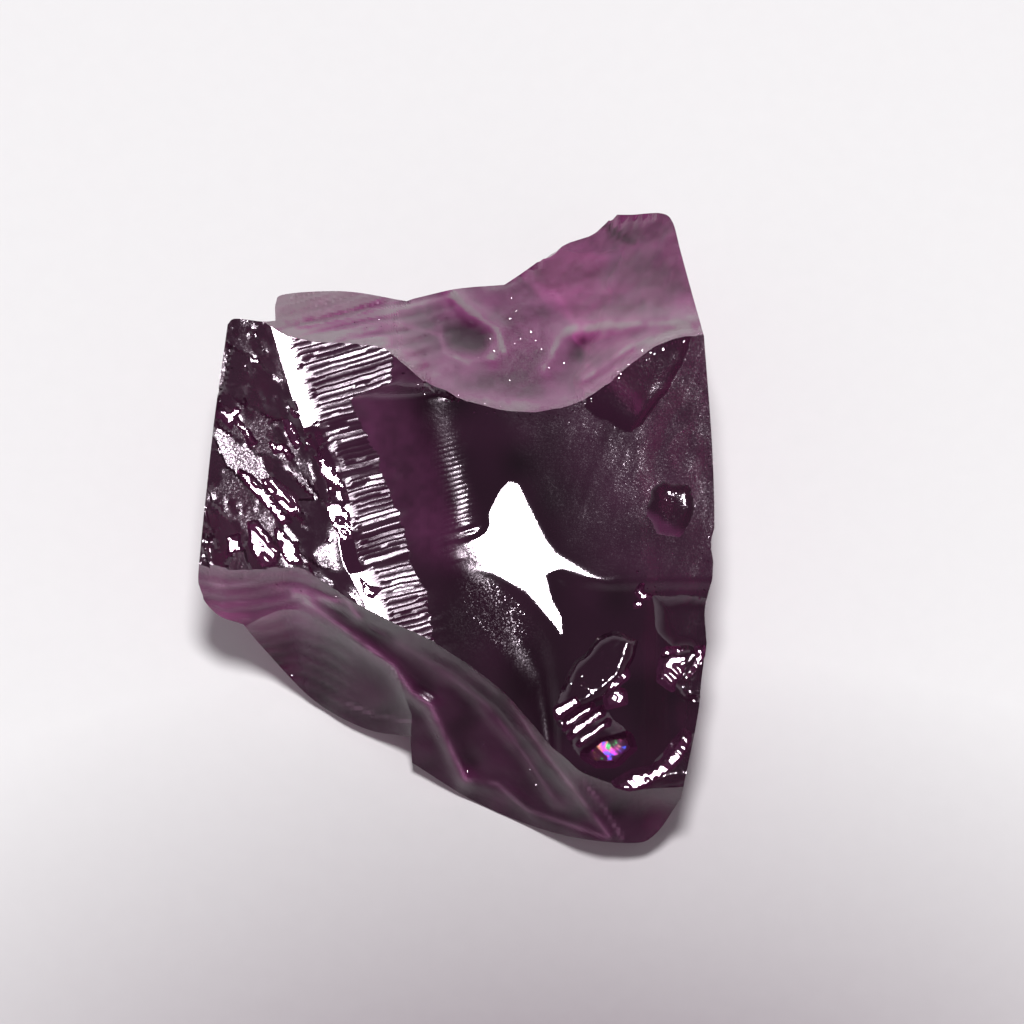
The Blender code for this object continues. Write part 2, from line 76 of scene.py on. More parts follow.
# Arrises that bound the table, as (x, y) along them
UPPER_ARRIS = [
    (-16, 13.5), (-10.3, 10.9), (-9.05, 10.1), (-7.5, 9.75), (-5.6, 9.7), (-3.85, 9.5),
    (-2.9, 8.7), (-1.4, 7.4), (0.4, 6.7), (2.25, 6.2), (4.1, 6.05), (5.95, 6.4), (7.5, 7.2),
    (9.1, 8.5), (10.4, 9.5), (11.7, 10.0), (13.05, 10.2), (16, 10.2),
]
FRONT_ARRIS = [
    (-16, -1.3), (-13.4, -1.85), (-12.2, -2.25), (-10.6, -2.25), (-8.4, -2.05), (-7.2, -2.7),
    (-5.6, -3.85), (-3.8, -4.8), (-1.4, -5.95), (0.7, -7.25), (2.5, -8.7), (3.85, -10.2),
    (5.0, -11.6), (6.5, -13.0), (8.05, -13.75), (9.6, -14.1), (11.8, -14.4), (16, -14.4),
]

# The table's left block: a scaly facet, a smooth crest strip, and a comb of hackle.
# The lines between them are given as (y, x) up the table.
CREST = [
    (-8.0, -3.0), (-3.9, -4.4), (-1.75, -5.5), (0.4, -5.9), (2.4, -6.4), (4.6, -7.3),
    (6.9, -8.2), (10.1, -9.15), (14.0, -10.4),
]
COMB_EDGE = [
    (-8.0, -0.4), (-5.9, -1.2), (-3.1, -1.6), (-0.9, -2.9), (1.3, -3.2), (3.5, -4.3),
    (5.6, -5.4), (6.9, -5.8), (7.5, -3.6), (9.6, -3.2), (14.0, -3.0),
]
# Cosine of their lean from straight up, and half the width of the crest strip
CREST_COS = 0.94
CREST_STRIP = 0.5
SCALY_SLOPE = 0.16
COMB_WALL_SLOPE = 0.42
COMB_PITCH = 0.27
COMB_LAND = 0.55
COMB_DEPTH = 0.03
COMB_TILT = 0.3
# Runs of teeth that lean out of the lamp's light: start, full, fading and end, down the comb
DULL_TEETH = [(-5.6, -4.6, -2.9, -2.2), (0.2, 0.8, 2.0, 2.4)]
DULL_LEAN = 0.14

# Scales of the left facet, which lie anywhere between two corners
SCALE_FIELD = (-15, -8), (-2, 13)
SCALE_COUNT = 70
SCALE_LEAN = 0.11
SCALE_TURN = math.radians(-47)
SCALE_STRETCH = 2.2

# The high facet of the table, shaped like a star, and how the table falls away round it
STAR = [
    (2.75, 2.5), (3.3, 2.3), (3.75, 1.4), (4.75, -0.6), (5.3, -1.35), (8.0, -3.0), (5.5, -2.2),
    (4.75, -2.45), (5.1, -3.8), (6.0, -5.4), (5.5, -5.8), (4.5, -4.6), (3.6, -3.5), (2.0, -2.5),
    (0.1, -1.9), (-0.5, -1.1), (0.9, -0.75), (1.5, 0.5), (2.2, 1.9),
]
STAR_DROP = 0.8
STAR_SHOULDER = 0.3
STAR_REACH = 3.5
STAR_SLOPE = 0.1
# How the table falls further below the star: at its right corner, and lower down at its left
CORNER_DROP = 0.3
CORNER_START = 5.6
LOW_SLOPE = 0.11
LOW_START = 2.8
WALL_ROUNDING = 0.28
HACKLE_TILT = 0.29
HACKLE_DEPTH = 0.02
HACKLE_CELL = 0.33
FOOT_WIDTH = 0.5
# Soft patches of the looks, as their middle and their spread across and up
STAR_HAZE = ((1.8, -4.6), (2.6, 2.0))
# The horn's patch is painted light, as if it came through the thin horn.
HORN_PAINTED_LIGHT = ((8.2, 12.8), (3.0, 2.8))
HOLLOW_SPECKLE = ((3.6, 9.2), (1.8, 2.2))

# Relief of the walls: ridges, as (line they follow, half width, height), and pits, as
# (middle, spread across and up, depth)
HOLLOW_RIDGES = [
    ([(-0.4, 12.7), (0.6, 11.6), (2.1, 10.5), (2.0, 9.2)], 0.45, 0.63),
    ([(14.0, 11.0), (8.2, 10.8), (5.7, 10.4), (4.6, 8.4)], 0.55, 0.56),
    ([(6.7, 7.9), (9.2, 9.6), (12.4, 10.6)], 0.4, 0.42),
]
HOLLOW_PITS = [
    ((0.4, 10.1), (1.5, 0.9), 0.45),
    ((6.6, 9.4), (0.9, 1.2), 0.3),
    ((8.6, 14.0), (3.0, 2.8), 0.9),
]
FOLD_PITCH = 0.75
FOLD_DEPTH = 0.13
FINE_FOLD_PITCH = 0.37
FINE_FOLD_DEPTH = 0.06
FOLDS_END = (-1.5, 3.5)
CLOUD_HEIGHT = 0.09
# How the walls fall away: slope, extra drop close under the arris, and how far that takes
HOLLOW_FALL = (1.45, 1.9, 1.2)
FRONT_FALL = (0.9, 1.5, 0.9)
# Slopes of the sheets on the near side of their arrises, where they clear the table
HOLLOW_CLEARS = 3.0
FRONT_CLEARS = 2.6
# Depth of the nicks of an arris, and how they ease in as the wall comes up to it
NICK_DEPTH = 0.05
NICKS_END = (-0.8, -0.1)
ARRIS_SMOOTHING = 1.6
HOLLOW_TURN = math.radians(-60)
FRONT_RIDGES = [
    ([(-2.4, -8.7), (-1.0, -9.7), (0.4, -13.6)], 0.5, 0.35),
    ([(0.5, -13.4), (2.6, -13.9), (4.2, -15.2), (7.6, -16.6)], 0.4, 0.25),
    ([(-4.0, -5.6), (-0.5, -7.6), (3.4, -11.6), (5.8, -15.2)], 1.2, -0.5),
]
LONG_CREASE = [(-8.0, -3.9), (-5.5, -5.7), (-3.4, -7.3), (-2.4, -8.7), (-1.4, -9.4), (0.4, -13.3)]
TIP_CREASE = [(2.9, -9.2), (4.5, -11.8), (6.4, -14.1), (8.0, -16.3)]
TOE_CREASE = [(6.7, -13.4), (7.7, -14.7), (8.7, -16.4)]
FRONT_CREASES = [
    ([(-8.6, -3.5), (-5.8, -3.9), (-5.2, -4.7)], 0.3, 0.35),
    (LONG_CREASE, 0.35, 0.3),
    (TIP_CREASE, 0.25, 0.14),
    (TOE_CREASE, 0.2, 0.12),
    ([(-3.0, -6.2), (0.2, -8.2), (3.0, -11.4), (5.4, -14.6)], 0.35, 0.14),
]

# Painted lines on the walls: painted highlights along ridges and creases, and painted shade in pits and
# along the seam under the lobe: (line they follow, half width, how much paler or darker)
LOBE = [(-10.4, 10.2), (-8.6, 10.5), (-5.6, 11.1), (-2.6, 12.1)]
HOLLOW_PAINTED_STREAKS = [
    ([(-0.3, 12.4), (0.6, 11.6), (2.1, 10.5), (2.5, 9.3)], 0.16, 0.4),
    ([(12.1, 10.8), (8.2, 10.8), (5.6, 10.5), (4.6, 8.4)], 0.2, 0.3),
    ([(6.7, 7.8), (9.2, 9.6), (12.1, 10.5)], 0.16, 0.25),
    ([(-1.0, 10.6), (-0.6, 9.3), (0.6, 8.7), (1.8, 9.0)], 0.2, 0.3),
    ([(-8.2, 10.8), (-4.0, 11.3), (-0.2, 12.5)], 0.16, 0.3),
    ([(-6.8, 10.2), (-2.8, 10.7), (-0.8, 10.2)], 0.12, 0.25),
    (LOBE, 0.13, -0.35),
    ([(8.0, 16.2), (8.6, 15.6), (9.4, 15.3)], 0.2, -0.4),
    ([(-0.2, 10.3), (0.5, 10.0), (1.1, 9.8)], 0.5, -0.4),
    ([(6.4, 9.2), (6.9, 9.9)], 0.4, -0.3),
]
FRONT_PAINTED_STREAKS = [
    ([(-8.6, -3.6), (-5.8, -3.9), (-5.2, -4.7)], 0.12, 0.3),
    (LONG_CREASE, 0.13, 0.35),
    ([(-5.8, -9.4), (-4.3, -10.0), (-2.4, -10.3)], 0.1, 0.25),
    (TIP_CREASE, 0.11, 0.3),
    (TOE_CREASE, 0.1, 0.25),
    ([(0.5, -13.4), (2.1, -13.6), (3.7, -15.0), (6.1, -15.8), (7.9, -16.4)], 0.12, 0.25),
    ([(-4.6, -5.2), (-1.0, -7.4), (1.6, -9.4), (3.4, -11.8), (5.0, -14.2)], 0.1, 0.15),
    ([(-12.8, -3.1), (-10.4, -3.0), (-8.0, -3.4)], 0.12, 0.2),
    ([(-12.4, -4.0), (-10.0, -3.9), (-8.4, -4.2)], 0.1, 0.15),
]

# Ledges behind the upper hollow: (line it starts at, drop, slope that it takes back)
LEDGES = [
    (LOBE, 1.3, 1.25),
    ([(1.2, 12.6), (2.6, 12.65), (4.6, 13.75)], 0.6, 1.2),
    ([(8.0, 16.0), (9.4, 16.25), (10.7, 16.3)], 0.6, 1.2),
]
LEDGE_STEP = 0.3

# Scoop under the lip at the front left, and the dark facet at the front tip
SCOOP = [
    (-16, -5.6), (-11.3, -5.3), (-10.3, -4.75), (-9.3, -4.35), (-8.2, -4.4), (-5.9, -5.7),
    (-3.3, -7.4), (-2.4, -9.9), (-2.5, -12.5), (-2.5, -20), (-16, -20),
]
SCOOP_DEPTH = 1.6
SCOOP_REACH = 1.1
SCOOP_RIM_SLOPE = 1.5
TIP = [
    (3.6, -10.2), (5.2, -12.2), (7.0, -14.5), (8.8, -16.6), (10, -20), (18, -20), (18, -9), (6, -9),
]
TIP_SLOPE = 0.5

# Chips of the table: outline, depth, and how far in from its rim a chip reaches that depth
CHIPS = {
    "arc_chip": ([
        (6.1, -7.3), (6.8, -6.6), (7.4, -5.8), (8.1, -5.45), (8.8, -5.5), (9.5, -5.95),
        (9.3, -7.0), (8.7, -8.1), (7.5, -9.1), (6.2, -9.7), (5.2, -9.7), (5.4, -8.6),
    ], 0.42, 0.5),
    "right_chip": ([
        (10.2, 2.0), (11.0, 2.5), (12.3, 2.1), (12.6, 0.9), (11.8, -0.6), (10.5, -0.4), (10.0, 0.7),
    ], 0.17, 0.7),
    "dark_chip": ([
        (10.2, -3.6), (12.9, -3.6), (14.5, -4.2), (14.5, -6.6), (11.3, -6.3), (10.5, -5.2),
    ], 0.3, 0.8),
    "glassy_chip": ([
        (10.7, -6.6), (12.2, -6.2), (14.5, -6.8), (14.5, -9.6), (12.1, -9.1), (10.8, -8.0),
    ], 0.55, 0.5),
    "toe_chip": ([
        (8.4, -13.3), (10.2, -12.6), (11.4, -11.2), (14.0, -10.4), (14.0, -13.4), (11.2, -13.9),
        (9.4, -14.2),
    ], 0.6, 0.9),
    "step_chip": ([
        (5.2, -10.1), (6.4, -9.6), (7.9, -9.7), (9.2, -11.0), (8.6, -12.4), (7.1, -12.5), (6.0, -11.4),
    ], 0.5, 1.1),
    "arris_chip": ([(-1.8, 7.5), (-0.8, 6.9), (0.2, 6.5), (-0.5, 7.6), (-1.6, 8.4)], 0.35, 0.2),
    "hollow_chip": ([
        (6.7, 6.4), (7.6, 5.7), (8.5, 5.2), (9.3, 5.0), (9.9, 5.4), (10.6, 6.6), (12.1, 8.6),
        (12.6, 11.0), (9.6, 11.0), (7.4, 8.4),
    ], 0.12, 0.9),
}
CHIP_MARGIN = 0.5
CHIP_CELL = 0.13
CHIP_RIM_SLOPE = 1.2
CHIP_WARP = 0.12
CRUMBLED = ("arc_chip", "step_chip", "glassy_chip", "toe_chip", "arris_chip")

# Breaks of the sides and the underside
HIDDEN_BREAKS = {
    "left_break": ((-12.95, 4.0, 12.0), (-1, 0.20, -0.20), (0, 0), 90, 0.2),
    "left_under_break": ((-11.6, 2.0, 4.4), (-0.62, -0.12, -0.78), (-3, 2), 40, 0.2),
    "front_under_break": ((-8.2, -6.6, 0.7), (-0.50, -0.55, -0.66), (0, 0), 45, 0.15),
    "right_break": ((12.9, -2.0, 9.0), (1, 0.02, -0.20), (-5, 3), 120, 0.2),
    "right_under_break": ((12.2, 3.0, 3.0), (0.75, 0.05, -0.66), (5, 0), 50, 0.2),
    "horn_break": ((12.8, 14.5, 10.0), (0.96, 0.10, -0.20), (0, 0), 80, 0.15),
    "horn_under_break": ((9.0, 22.6, 3.4), (0.05, 0.80, -0.60), (0, 0), 40, 0.2),
    "back_break": ((4.0, 19.5, 5.0), (-0.45, 0.85, 0.20), (0, 0), 32, 0.2),
    "back_corner_break": ((-10.9, 13.0, 8.0), (-0.75, 0.62, 0.06), (0, 0), 60, 0.2),
}
RIPPLE_PITCH = 2.8

# Small facets that lie at the star's own angle, as (outline, depth below the table)
LAMP_FACETS = {
    "toe_crescent": ([
        (8.5, -13.6), (9.3, -13.1), (10.2, -12.9), (11.0, -12.4), (11.5, -11.6), (12.0, -11.0),
        (12.2, -11.3), (11.8, -12.2), (11.0, -12.9), (10.0, -13.5), (9.1, -13.9),
    ], 0.9),
    "vee": ([
        (-12.63, 6.00), (-12.37, 5.74), (-11.95, 5.26), (-11.68, 5.84),
        (-11.42, 6.11), (-11.58, 6.26), (-11.95, 5.95), (-12.32, 6.11),
    ], 0.30),
    "wisp": ([
        (-11.74, 5.58), (-11.26, 5.05), (-10.89, 4.42), (-10.68, 4.47), (-11.05, 5.11), (-11.53, 5.68),
    ], 0.30),
    "spatter": ([
        (-9.84, 4.47), (-9.63, 3.95), (-9.16, 4.05), (-8.79, 3.58),
        (-8.68, 3.74), (-9.05, 4.32), (-9.53, 4.26),
    ], 0.28),
    "blade": ([
        (-9.16, 5.79), (-8.89, 5.74), (-8.58, 5.11), (-8.26, 4.42), (-8.47, 4.16), (-8.84, 4.79),
    ], 0.30),
    "chip_by_crest": ([(-8.79, 6.26), (-8.37, 5.89), (-8.53, 5.79), (-8.79, 6.05)], 0.25),
    "long_blade": ([
        (-11.37, 2.89), (-10.95, 2.68), (-10.37, 2.21), (-9.74, 1.53),
        (-8.89, 0.32), (-9.16, 0.26), (-10.11, 1.21), (-10.89, 2.05),
    ], 0.35),
    "long_scale": ([
        (-10.21, 2.47), (-9.79, 2.58), (-9.11, 2.05), (-8.58, 1.53),
        (-8.26, 0.79), (-8.63, 0.74), (-9.21, 1.05), (-9.84, 1.84),
    ], 0.35),
    "low_scale": ([
        (-10.89, 0.21), (-10.58, 0.26), (-10.21, -0.26), (-9.84, -0.74), (-9.42, -1.11),
        (-9.53, -1.79), (-10.21, -2.00), (-10.63, -1.42), (-10.84, -0.58),
    ], 0.35),
    "low_blade": ([
        (-9.53, -0.11), (-9.16, -0.26), (-8.63, -0.95), (-8.26, -1.84),
        (-8.79, -1.89), (-9.16, -1.37), (-9.42, -0.84),
    ], 0.35),
    "corner_scale": ([(-12.05, -0.58), (-11.53, -0.47), (-11.47, -1.16), (-11.95, -1.37)], 0.30),
    "crest_broad": ([
        (-6.89, 1.26), (-6.21, 1.21), (-5.68, 0.74), (-5.53, -0.58),
        (-6.11, -0.74), (-6.21, -0.37), (-6.63, 0.21),
    ], 0.12),
    "crest_blade": ([
        (-7.32, 4.16), (-7.05, 3.58), (-6.63, 3.21), (-5.89, 2.11),
        (-6.16, 2.05), (-6.74, 2.47), (-7.16, 2.89),
    ], 0.20),
    "crest_foot": ([(-5.05, -2.68), (-4.63, -3.11), (-3.84, -3.21), (-4.47, -3.74), (-4.89, -3.42)], 0.12),
    "bar_a": ([(8.0, -8.3), (8.9, -7.6), (9.0, -7.8), (8.15, -8.55)], 0.5),
    "bar_b": ([(7.9, -9.0), (8.4, -8.6), (8.75, -8.7), (8.8, -9.2), (8.0, -9.4)], 0.55),
    "glassy_face": ([
        (10.9, -7.2), (11.4, -6.8), (12.0, -6.9), (11.9, -7.7), (11.3, -8.4), (10.8, -8.0),
    ], 0.75),
    "glassy_bar": ([(11.0, -6.5), (12.0, -6.45), (12.0, -6.6), (11.0, -6.7)], 0.5),
    "glassy_sliver": ([
        (12.9, -6.4), (12.95, -7.0), (12.3, -7.9), (12.15, -7.8), (12.6, -7.0), (12.7, -6.5),
    ], 0.7),
    "crumb_a": ([
        (9.5, -3.4), (9.75, -3.1), (9.85, -3.5), (10.2, -3.6), (10.1, -3.8), (9.6, -3.7),
    ], 0.25),
    "fire_flaw": ([
        (6.9, -11.9), (7.6, -11.3), (8.9, -11.1), (9.1, -11.6), (8.3, -12.3), (7.4, -12.3),
    ], 1.0),
    "crumb_b": ([(9.35, -4.0), (9.7, -3.9), (9.7, -4.15), (9.4, -4.2)], 0.25),
}
FACET_CELL = 0.1
FACET_TORN = 0.04
FACET_RIM_SLOPE = 2.5
# Bars of the steps at the toe: where each starts, its length and its width
STEP_BARS = [
    (5.3, -10.0, 1.3, 0.36), (5.75, -10.5, 1.6, 0.2), (6.1, -10.95, 1.9, 0.26), (6.5, -11.4, 1.7, 0.2),
]
STEP_TURN = math.radians(35)
STEP_DEPTH = 0.75
STEP_CELL = 0.07

# Lines along which crumbs broke out of the arrises, and how many along each
CRUMB_LINES = [
    ([(5.9, 6.2), (7.5, 7.0), (9.1, 8.3), (10.4, 9.3), (11.7, 9.8), (12.8, 10.0)], 150),
    ([(12.9, 9.6), (13.3, 3.5), (13.3, -2.0)], 40),
    ([(-12.0, 9.5), (-12.6, 5.0), (-13.1, 0.0), (-13.2, -1.5)], 40),
    ([(9.4, -2.0), (10.5, -3.6), (10.0, -4.2)], 12),
    ([(13.0, -3.0), (12.5, -9.0), (12.0, -12.5)], 24),
    ([(-2.9, 8.3), (-1.4, 7.1), (0.4, 6.4), (3.0, 5.9), (5.5, 6.0)], 50),
    ([(6.5, -13.0), (9.6, -13.9), (11.2, -14.0)], 12),
    ([(4.9, -8.8), (6.2, -9.9), (8.0, -9.6)], 8),
]
CRUMB_SIZE = (0.03, 0.1)
CRUMB_LEAN = 0.08
CRUMB_DEPTH = 0.14
CRUMB_SCATTER = 0.13
RIM_SPAN = (-2.8, 12.8)
RIM_SPARKLES = 160
RIM_GAP = 0.03
RIM_SCATTER = 0.13
SPARKLE_SIZE = (0.03, 0.06)
SPARKLE_DEPTH = 0.04
CHIP_SPARKLES = 45
CHIP_EDGE = 0.1
# Sparkles on the walls: middle, spread, how many, and on which wall
SPARKLE_FIELDS = [
    ((3.2, 9.6), (1.5, 1.4), 110, "hollow"),
    ((-0.5, 10.6), (2.4, 0.9), 40, "hollow"),
    ((8.0, 11.0), (2.6, 2.0), 30, "hollow"),
    ((-7.6, -7.3), (0.9, 1.1), 30, "scoop"),
    ((-9.0, -3.4), (2.5, 0.6), 25, "front"),
    ((3.0, -12.0), (4.0, 2.0), 30, "front"),
]
CRUMB_FLARE = 1.4
CRUMB_HEIGHT = 2.0
CRUMB_SIDES = 6

# Grids of the sheets: cell sizes, and how far past the stone the table's sheets reach
WALL_CELL = 0.13
LOW_CELL = 0.22
HIDDEN_CELL = 0.52
SHEET_END = 30
LATTICE = 128

# What each face carries: how matt it broke, how much purple light comes back out of it, how
# much it glitters, how much of it is a flaw that splits light into colours, and how much its
# reflections are muted
LOOKS = ("frost", "glow", "glitter", "fire", "dull")
# What the blank's own faces carry where they are left, and what a cutter's faces off its sheet do
BLANK_LOOKS = {"frost": 1.5, "glow": 0.5, "dull": 0.4}
OFF_SHEET = 0.4
# The looks of each break and chip that are the same all over it
SCALY = {"frost": 0.55, "glow": 0.1, "glitter": 0.1}
DARK = {"frost": 0.2, "glow": 0.07, "glitter": 0.05}
FAINT = {"frost": 0.3, "glow": 0.1, "glitter": 0.05, "dull": 0.5}
BRIGHT = {"frost": 0.0, "glow": 0.25}
FLAW = {"glow": 0.2, "fire": 1.0, "glitter": 0.05}
SHARP_FROM = 22

# Crystal
CRYSTAL_IOR = 1.745
CRYSTAL_CLEAR = 0.76
ABSORBING_TINT = (0.55, 0.02, 0.38)
ABSORBING_DENSITY = 90.0
GLEAM = (0.9, 0.76, 0.87)
LEAST_ROUGH = 0.03
HAZE = (0.16, 0.36)
ZONE_SWING = (0.88, 1.12)
GLOW_TINTS = [
    (0.0, (0.02, 0.006, 0.014)), (0.4, (0.34, 0.08, 0.235)), (0.76, (0.92, 0.25, 0.66)),
    (1.0, (1.0, 0.77, 0.88)),
]
BLUE, GREEN = (0.008, 0.02, 0.2), (0.008, 0.13, 0.03)
MAGENTA, YELLOW = (0.2, 0.008, 0.12), (0.2, 0.12, 0.008)
FLAW_COLOURS = [(0.0, BLUE), (0.36, MAGENTA), (0.46, YELLOW), (0.52, MAGENTA), (0.6, GREEN)]
FLAW_SCALE = 3400.0
GRAIN_STRENGTH = 0.25
GRAIN_LEAST = 0.02
GRAIN_HEIGHT = 0.00005
GLITTER_SCALE = 20000.0

# Floor, in metres, with the middle of the soft shadow painted on it in front of the stone and how fast
# that painted shadow fades each way
FLOOR_SIZE = 3.0
PAPER_GRAIN = 0.03
# The paper's own colour, and the colour of the painted shadow at its darkest
PAPER_AND_SHADOW_SHADES = [(0.0, (0.84, 0.825, 0.835)), (0.6, (0.36, 0.315, 0.345))]
PAINTED_SHADOW_MIDDLE = (0.006, -0.045, 0)
PAINTED_SHADOW_RATE = (17.5, 25, 25)

# Lamp, in metres and watts, and the studio round it from below to overhead
LAMP_PLACE = (0.0, -0.07, 0.7)
LAMP_TARGET = (0, 0, 0.008)
LAMP_SIZE = 0.12
LAMP_WATTS = 4.2
STUDIO_SHADES = [
    (0.0, (0.82, 0.8, 0.82)), (0.2, (0.8, 0.784, 0.8)), (0.5, (0.42, 0.4116, 0.42)),
    (0.75, (0.12, 0.1176, 0.12)), (1.0, (0.1, 0.1, 0.11)),
]

# Camera over the table, in metres in the table's frame, and the width that it sees there
CAMERA_PLACE = (0.0029, 0.0008, 0.9)
VIEW_WIDTH = 0.05389
SENSOR_WIDTH = 36.0


def blended(x, points, width=0.5):
    """Value at x of a line through points, its corners eased over width."""
    px, py = np.array(points, float).T
    fine = np.linspace(px[0], px[-1], LINE_STEPS)
    line = np.interp(fine, px, py)
    reach = max(1, int(width / (fine[1] - fine[0])))
    kernel = np.hanning(2 * reach + 3)
    padded = np.pad(line, reach + 1, mode="edge")
    return np.interp(x, fine, np.convolve(padded, kernel / kernel.sum(), mode="valid"))


def eased(x, low, high):
    """0 below low, 1 above high, and smooth between them."""
    t = np.clip((x - low) / (high - low), 0, 1)
    return t * t * (3 - 2 * t)


def noise(x, y, cell, seed):
    """Smooth random values from -1 to 1 that change over cell."""
    values = np.random.default_rng(seed).uniform(-1, 1, (LATTICE, LATTICE))
    u, v = x / cell, y / cell
    i, j = np.floor(u).astype(int), np.floor(v).astype(int)
    fu, fv = eased(u - i, 0, 1), eased(v - j, 0, 1)
    low = values[i % LATTICE, j % LATTICE] * (1 - fu) + values[(i + 1) % LATTICE, j % LATTICE] * fu
    j = j + 1
    high = values[i % LATTICE, j % LATTICE] * (1 - fu) + values[(i + 1) % LATTICE, j % LATTICE] * fu
    return low * (1 - fv) + high * fv


def near_cells(x, y, size, jitter, turn, stretch):
    """For each of the nine cells round every point: its index, and the way to its middle."""
    along = (x * math.cos(turn) + y * math.sin(turn)) / (size * stretch)
    aside = (y * math.cos(turn) - x * math.sin(turn)) / size
    i0, j0 = np.floor(along).astype(int), np.floor(aside).astype(int)
    for di in (-1, 0, 1):
        for dj in (-1, 0, 1):
            cell = (i0 + di) % LATTICE, (j0 + dj) % LATTICE
            yield cell, along - i0 - di - jitter[0][cell], aside - j0 - dj - jitter[1][cell]


def flakes(x, y, size, lean, seed, turn=0.0, stretch=1.0):
    """Facets of about size, each leaning its own way, drawn out along turn."""
    chance = np.random.default_rng(seed)
    jitter = chance.uniform(0, 1, (2, LATTICE, LATTICE))
    leans = chance.normal(0, lean, (2, LATTICE, LATTICE))
    nearest, height = np.full(np.shape(x), np.inf), np.zeros(np.shape(x))
    for cell, da, ds in near_cells(x, y, size, jitter, turn, stretch):
        distance = np.hypot(da, ds)
        tilted = size * (leans[0][cell] * da * stretch + leans[1][cell] * ds)
        height = np.where(distance < nearest, tilted, height)
        nearest = np.minimum(nearest, distance)
    return height


def scallops(x, y, size, depth, seed, turn=0.0, stretch=1.0):
    """Shallow bites that meet in sharp ridges, drawn out along turn."""
    jitter = np.random.default_rng(seed).uniform(0, 1, (3, LATTICE, LATTICE))
    lowest = np.full(np.shape(x), np.inf)
    for cell, da, ds in near_cells(x, y, size, jitter, turn, stretch):
        lowest = np.minimum(lowest, da * da + ds * ds + 0.3 * jitter[2][cell])
    return depth * (np.minimum(lowest, 1.2) - 0.6)


def beside(distance, width):
    """1 on a line, falling away to either side over width."""
    return np.exp(-((distance / width) ** 2))


def hump(x, y, centre, spread):
    """1 at the centre, falling away over the spread across and up."""
    return np.exp(-(((x - centre[0]) / spread[0]) ** 2) - ((y - centre[1]) / spread[1]) ** 2)


def along_run(value, start, full, fading, end):
    """1 along a run, eased in and out at its ends."""
    return eased(value, start, full) * (1 - eased(value, fading, end))


def distance_to(x, y, points):
    """Distance from a line through points."""
    nearest = np.full(np.shape(x), np.inf)
    for (ax, ay), (bx, by) in zip(points, points[1:]):
        dx, dy = bx - ax, by - ay
        t = np.clip(((x - ax) * dx + (y - ay) * dy) / (dx * dx + dy * dy), 0, 1)
        nearest = np.minimum(nearest, np.hypot(x - ax - t * dx, y - ay - t * dy))
    return nearest


def depth_inside(x, y, outline):
    """Distance in from a closed outline, negative outside it."""
    inside = np.zeros(np.shape(x), bool)
    for (ax, ay), (bx, by) in zip(outline, outline[1:] + outline[:1]):
        if ay != by:
            crosses = (ay > y) != (by > y)
            inside ^= crosses & (x < ax + (y - ay) * (bx - ax) / (by - ay))
    distance = distance_to(x, y, outline + outline[:1])
    return np.where(inside, distance, -distance)


def behind(x, y, line):
    """Distance past a line across the hollow, negative on its near side."""
    return depth_inside(x, y, [*line, (line[-1][0], FAR), (line[0][0], FAR)])


def right_of(x, y, line):
    """Distance to the right of a line that runs up the table, square to it."""
    return (x - blended(y, line)) * CREST_COS


def scaly_side(x, y):
    return -TABLE_SLOPE * y + SCALY_SLOPE * (right_of(x, y, CREST) + CREST_STRIP)


def comb_strip(x, y):
    return -TABLE_SLOPE * y


def star_fall(x, y):
    """Level of the star facet and of the table that falls away all round it."""
    fringe = 0.6 * noise(0.2 * x, y - HACKLE_TILT * x, HACKLE_CELL, 88)
    fringe = fringe * eased(-x, -2.4, -1.2) * eased(y, -2.6, -1.6) * eased(-y, -1.2, 0.3)
    outside = np.maximum(-depth_inside(x + fringe, y, STAR), 0)
    shoulder = STAR_SHOULDER * (1 - np.exp(-outside / STAR_REACH))
    corner = CORNER_DROP * (1 - np.exp(-np.maximum(x - CORNER_START, 0) / 2.0)) * eased(-y, 2.6, 3.6)
    past_haze = np.logaddexp(0, 2 * (-y - LOW_START)) / 2
    low = LOW_SLOPE * past_haze * (1 - np.exp(-outside / 1.5)) * eased(-x, -5.8, -4.2)
    return -STAR_DROP - shoulder - STAR_SLOPE * outside - corner - low


def comb_wall(x, y):
    return np.clip(-COMB_WALL_SLOPE * right_of(x, y, COMB_EDGE), -4, 4)


def foot(x, y):
    """How near the foot of the wall between the comb and the star is."""
    return beside(comb_wall(x, y) - star_fall(x, y), FOOT_WIDTH)


def star_side(x, y):
    """The star and its flanks, and the wall that drops to them from the comb."""
    wall = comb_wall(x, y)
    level = np.logaddexp(wall / WALL_ROUNDING, star_fall(x, y) / WALL_ROUNDING)
    return -TABLE_SLOPE * y + WALL_ROUNDING * level


def table(x, y):
    return np.minimum(np.minimum(scaly_side(x, y), comb_strip(x, y)), star_side(x, y))


def scales(x, y):
    """Facets that each lean their own way, like the scales of a fish."""
    chance = np.random.default_rng(7)
    centres = chance.uniform(*SCALE_FIELD, (SCALE_COUNT, 2))
    leans = chance.normal(0, SCALE_LEAN, (SCALE_COUNT, 2))
    turn = np.cos(SCALE_TURN), np.sin(SCALE_TURN)
    height = np.zeros(np.shape(x))
    nearest = np.full(np.shape(x), np.inf)
    for (cx, cy), lean in zip(centres, leans):
        dx, dy = x - cx, y - cy
        lengthwise = (dx * turn[0] + dy * turn[1]) / SCALE_STRETCH
        distance = np.hypot(lengthwise, dy * turn[0] - dx * turn[1])
        height = np.where(distance < nearest, lean[0] * dx + lean[1] * dy, height)
        nearest = np.minimum(nearest, distance)
    return height


def ridges(x, y, lines):
    total = 0.0
    for line, width, height in lines:
        total = total + height * beside(distance_to(x, y, line), width)
    return total


